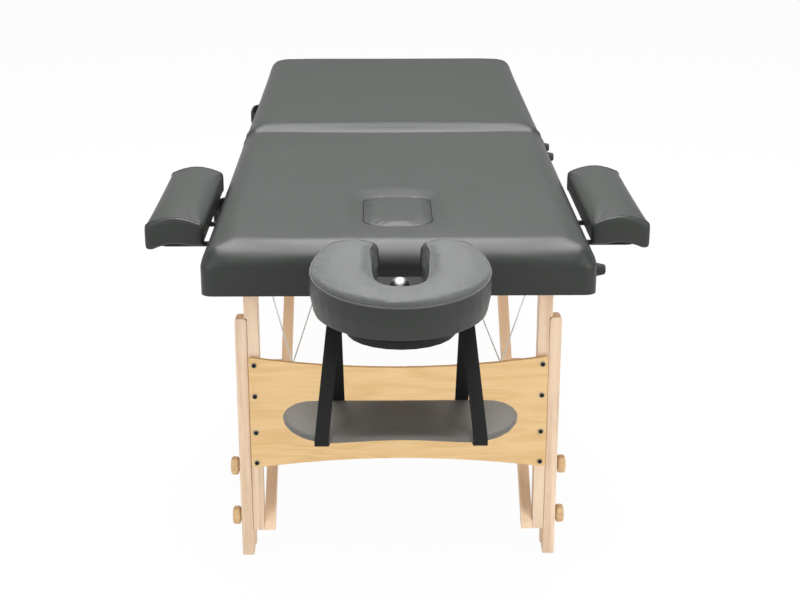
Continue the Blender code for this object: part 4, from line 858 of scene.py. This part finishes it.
def hang_straps():
    """Webbing loops of the sling: the front run splays out, the back run hangs straight."""
    bar = JOINT_AT["sling_swing"]
    drop = bar.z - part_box("sling_shelf")[1].z
    for side in SIDES:
        node = "sling_strap_" + SIDE_NAMES[side]
        strap = copied_solid(node, node + "_webbing")
        rows = points_of(strap)
        fall = np.clip((bar.z - rows[:, 2]) / drop, 0.0, 1.0)
        forward = np.clip((bar.y - rows[:, 1]) / 0.09, -1.0, 1.0)
        # From the solid's middle line to the webbing's, a fifth narrower.
        across = side * rows[:, 0] - (0.101 + 0.016 * fall)
        rows[:, 0] = side * (0.80 * across + 0.106 + fall * (0.009 + 0.012 * forward))
        move_points(strap, rows)
        apply(strap, "BEVEL", width=0.0006, segments=2, limit_method="ANGLE", angle_limit=math.radians(50))
        smooth(strap, 50.0)
        fit(strap, WEBBING, "webbing", "sling", node)


def sew_handles():
    """Carry handles: bowed webbing grips with rounded edges."""
    for end in ENDS:
        node = END_NAMES[end] + "_handle"
        handle = copied_solid(node, node + "_grip")
        apply(handle, "DECIMATE", decimate_type="DISSOLVE", angle_limit=0.01)
        apply(handle, "BEVEL", width=0.0014, segments=3, limit_method="ANGLE", angle_limit=math.radians(50))
        smooth(handle, 50.0)
        fit(handle, WEBBING, "webbing", END_NAMES[end] + "_half", node)


# ------------------------------------------------------------------ fittings

def facing_turn(at, way):
    """Placement that stands a fitting on a point, its head looking one way."""
    return Matrix.Translation(at) @ Vector(way).to_track_quat("Z", "Y").to_matrix().to_4x4()


def socket_head(name, radius, height, rim):
    """Round screw head with a sunk socket, standing on its face."""
    head = start(name, bpy.ops.mesh.primitive_cylinder_add, vertices=24, radius=radius, depth=height,
                 location=(0.0, 0.0, height / 2))
    edit(head)
    pick("FACE", lambda f: f.normal.z > 0.9)
    bpy.ops.mesh.inset(thickness=rim)
    bpy.ops.mesh.extrude_region_move(TRANSFORM_OT_translate={"value": (0.0, 0.0, -height * 0.7)})
    pick("EDGE", lambda e: all(v.co.z > height - 1e-6 for v in e.verts))
    bpy.ops.mesh.bevel(offset=min(height * 0.25, radius * 0.12), segments=2, affect="EDGES")
    done()
    smooth(head, 35.0)
    return head


def dome_head(name, radius, height):
    """Domed bolt head."""
    head = start(name, bpy.ops.mesh.primitive_cylinder_add, vertices=24, radius=radius, depth=height * 0.4,
                 location=(0.0, 0.0, height * 0.2))
    edit(head)
    for grow, lift in ((0.16, 0.30), (0.30, 0.20), (0.34, 0.10)):
        pick("FACE", lambda f: f.normal.z > 0.9 and heart(f).xy.length < radius * 0.05)
        bpy.ops.mesh.inset(thickness=radius * grow)
        bpy.ops.transform.translate(value=(0.0, 0.0, height * lift))
    done()
    smooth(head, 60.0)
    return head


def collar(name, bore, radius, height):
    """Moulded bush round a rod: a ring with a stepped flange."""
    ring = start(name, bpy.ops.mesh.primitive_cylinder_add, vertices=28, radius=radius, depth=height,
                 end_fill_type="NOTHING", location=(0.0, 0.0, height / 2))
    edit(ring)
    pick("EDGE", lambda e: all(v.co.z > height - 1e-6 for v in e.verts))
    share = bore / radius
    bpy.ops.mesh.extrude_edges_move()
    bpy.ops.transform.resize(value=(share, share, 1.0), center_override=(0.0, 0.0, height))
    bpy.ops.mesh.extrude_edges_move()
    bpy.ops.transform.translate(value=(0.0, 0.0, -height))
    pick("EDGE", lambda e: e.is_boundary)
    bpy.ops.mesh.bridge_edge_loops()
    bpy.ops.mesh.select_all(action="SELECT")
    bpy.ops.mesh.normals_make_consistent(inside=False)
    pick("EDGE", lambda e: all(v.co.z > height - 1e-6 for v in e.verts) and abs(run(e).z) < 0.1
         and abs(heart(e).xy.length - radius) < radius * 0.08)
    bpy.ops.mesh.bevel(offset=height * 0.35, segments=3, affect="EDGES")
    done()
    smooth(ring, 40.0)
    return ring


def fix_panel_screws():
    """Socket screws down both edges of the end panels."""
    radius, rim, from_middle = 0.0047, 0.0011, 0.259
    heights = (0.3845, 0.3246, 0.2534, 0.1935)
    pattern = socket_head("panel_screw", radius, 0.0018, rim)
    socket = [int(face.center.xy.length < radius - rim + 0.0001) for face in pattern.data.polygons]
    for end in ENDS:
        low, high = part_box(END_NAMES[end] + "_end_panel")
        face = low.y if end == HEAD else high.y
        count = 0
        for side in SIDES:
            for height in heights:
                count += 1
                at = (side * from_middle, face + end * 0.0002, height)
                screw = copied(pattern, "%s_panel_screw_%d" % (END_NAMES[end], count),
                               facing_turn(at, (0, end, 0)))
                fit(screw, SCREW_STEEL, "chrome", END_NAMES[end] + "_legs")
                # The sunk socket faces take the black powder coat: painted shade in the recess.
                screw.data.materials.append(BLACK_STEEL)
                screw.data.polygons.foreach_set("material_index", socket)
    bpy.data.objects.remove(pattern)


def fix_brace_bolts():
    """Domed bolts through the upper ends of the braces."""
    pattern = dome_head("brace_bolt", 0.0065, 0.0036)
    for end in ENDS:
        name = END_NAMES[end]
        for side in SIDES:
            word = SIDE_NAMES[side]
            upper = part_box("%s_upper_link_%s" % (name, word))
            outer = max(abs(upper[0].x), abs(upper[1].x))
            pivot = JOINT_AT[name + "_upper_links_fold"]
            bolt = copied(pattern, "%s_brace_bolt_%s" % (name, word),
                          facing_turn((side * (outer + 0.0001), pivot.y, pivot.z), (side, 0, 0)))
            fit(bolt, SCREW_STEEL, "chrome", name + "_upper_links")
    bpy.data.objects.remove(pattern)


def fix_clamp_cap():
    """Chromed dome over the cradle's clamp bolt."""
    low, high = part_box("cradle_clamp")
    cap = dome_head("cradle_clamp_cap", 0.0168, 0.020)
    sunk = 0.008
    at = ((low.x + high.x) / 2, (low.y + high.y) / 2, high.z - sunk)
    cap.data.transform(facing_turn(at, CRADLE_UP))
    fit(cap, CHROME, "chrome", "cradle_head")


def fix_rod_bushes():
    """Black bushes where the cradle rods and armrest rods enter the frame."""
    pattern = collar("rod_bush", 0.0066, 0.0105, 0.0022)
    hair = 0.0001  # clear of the leather
    cradle_rod_x, armrest_rod_z = 0.0825, RIM + 0.032
    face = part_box("head_pad")[0].y
    for side in SIDES:
        at = (side * cradle_rod_x, face - hair, CRADLE_AXIS.z)
        bush = copied(pattern, "cradle_rod_bush_" + SIDE_NAMES[side], facing_turn(at, (0, -1, 0)))
        fit(bush, RUBBER, "rubber", "head_half")
        for place, from_fold in (("front", 0.720), ("back", 0.590)):
            at = (side * (TABLE_HALF + hair), FOLD_Y - from_fold, armrest_rod_z)
            bush = copied(pattern, "armrest_rod_bush_%s_%s" % (place, SIDE_NAMES[side]),
                          facing_turn(at, (side, 0, 0)))
            fit(bush, RUBBER, "rubber", "head_half")
    bpy.data.objects.remove(pattern)


# ------------------------------------------------------------------ solids that show

def finish_solids():
    """Finish for every solid that shows, with its edges eased in the light."""
    finishes = {
        "_frame": BEECH_LENGTH, "_deck": DECK_WOOD, "_brace_rail": BEECH_ACROSS, "_end_panel": PANEL_WOOD,
        "_leg_axle": STEEL, "fold_hinge": STEEL, "rubber_foot": RUBBER, "_extension_": BEECH_UP,
        "_knob_": KNOB_WOOD, "_leg_left": BEECH_UP, "_leg_right": BEECH_UP, "cradle_plate": BLACK_STEEL,
        "cradle_clamp": CHROME, "cradle_rods": STEEL, "armrest_bracket": BLACK_STEEL,
        "head_lower_link": BEECH_BRACE[HEAD], "head_upper_link": BEECH_BRACE[HEAD],
        "foot_lower_link": BEECH_BRACE[FOOT], "foot_upper_link": BEECH_BRACE[FOOT],
        "_cable_": WIRE, "_pad": LEATHER, "face_plug": LEATHER, "cradle_cushion": CUSHION_LEATHER_PAINTED_LIGHT,
        "sling_shelf": SHELF_LEATHER, "sling_strap": WEBBING, "_handle": WEBBING}
    rounding = {"_leg_left": 0.0016, "_leg_right": 0.0016, "_extension_": 0.0016, "_link_": 0.0014,
                "_end_panel": 0.0008, "_brace_rail": 0.0012, "_frame": 0.0012}
    fine_edge = 0.0004
    for name, solid in solids.items():
        finish = next(material for part, material in finishes.items() if part in name)
        for place in solid.material_slots:
            place.material = finish
        width = next((size for part, size in rounding.items() if part in name), fine_edge)
        weld = solid.modifiers.new("weld", "WELD")
        weld.merge_threshold = 0.00002
        flat = solid.modifiers.new("flats", "DECIMATE")
        flat.decimate_type = "DISSOLVE"
        flat.angle_limit = 0.008
        edge = solid.modifiers.new("edges", "BEVEL")
        edge.width = width
        edge.segments = 2
        edge.limit_method = "ANGLE"
        edge.angle_limit = math.radians(38)
        solid.modifiers.new("shading", "WEIGHTED_NORMAL").keep_sharp = True
        solid.data.polygons.foreach_set("use_smooth", [True] * len(solid.data.polygons))


stand_camera()
light_studio()
lay_floor()
string_cables()
for end in ENDS:
    upholster_half(end)
stuff_plug()
stuff_cushion()
stuff_armrests()
stuff_shelf()
hang_straps()
sew_handles()
fix_panel_screws()
fix_brace_bolts()
fix_clamp_cap()
fix_rod_bushes()
finish_solids()
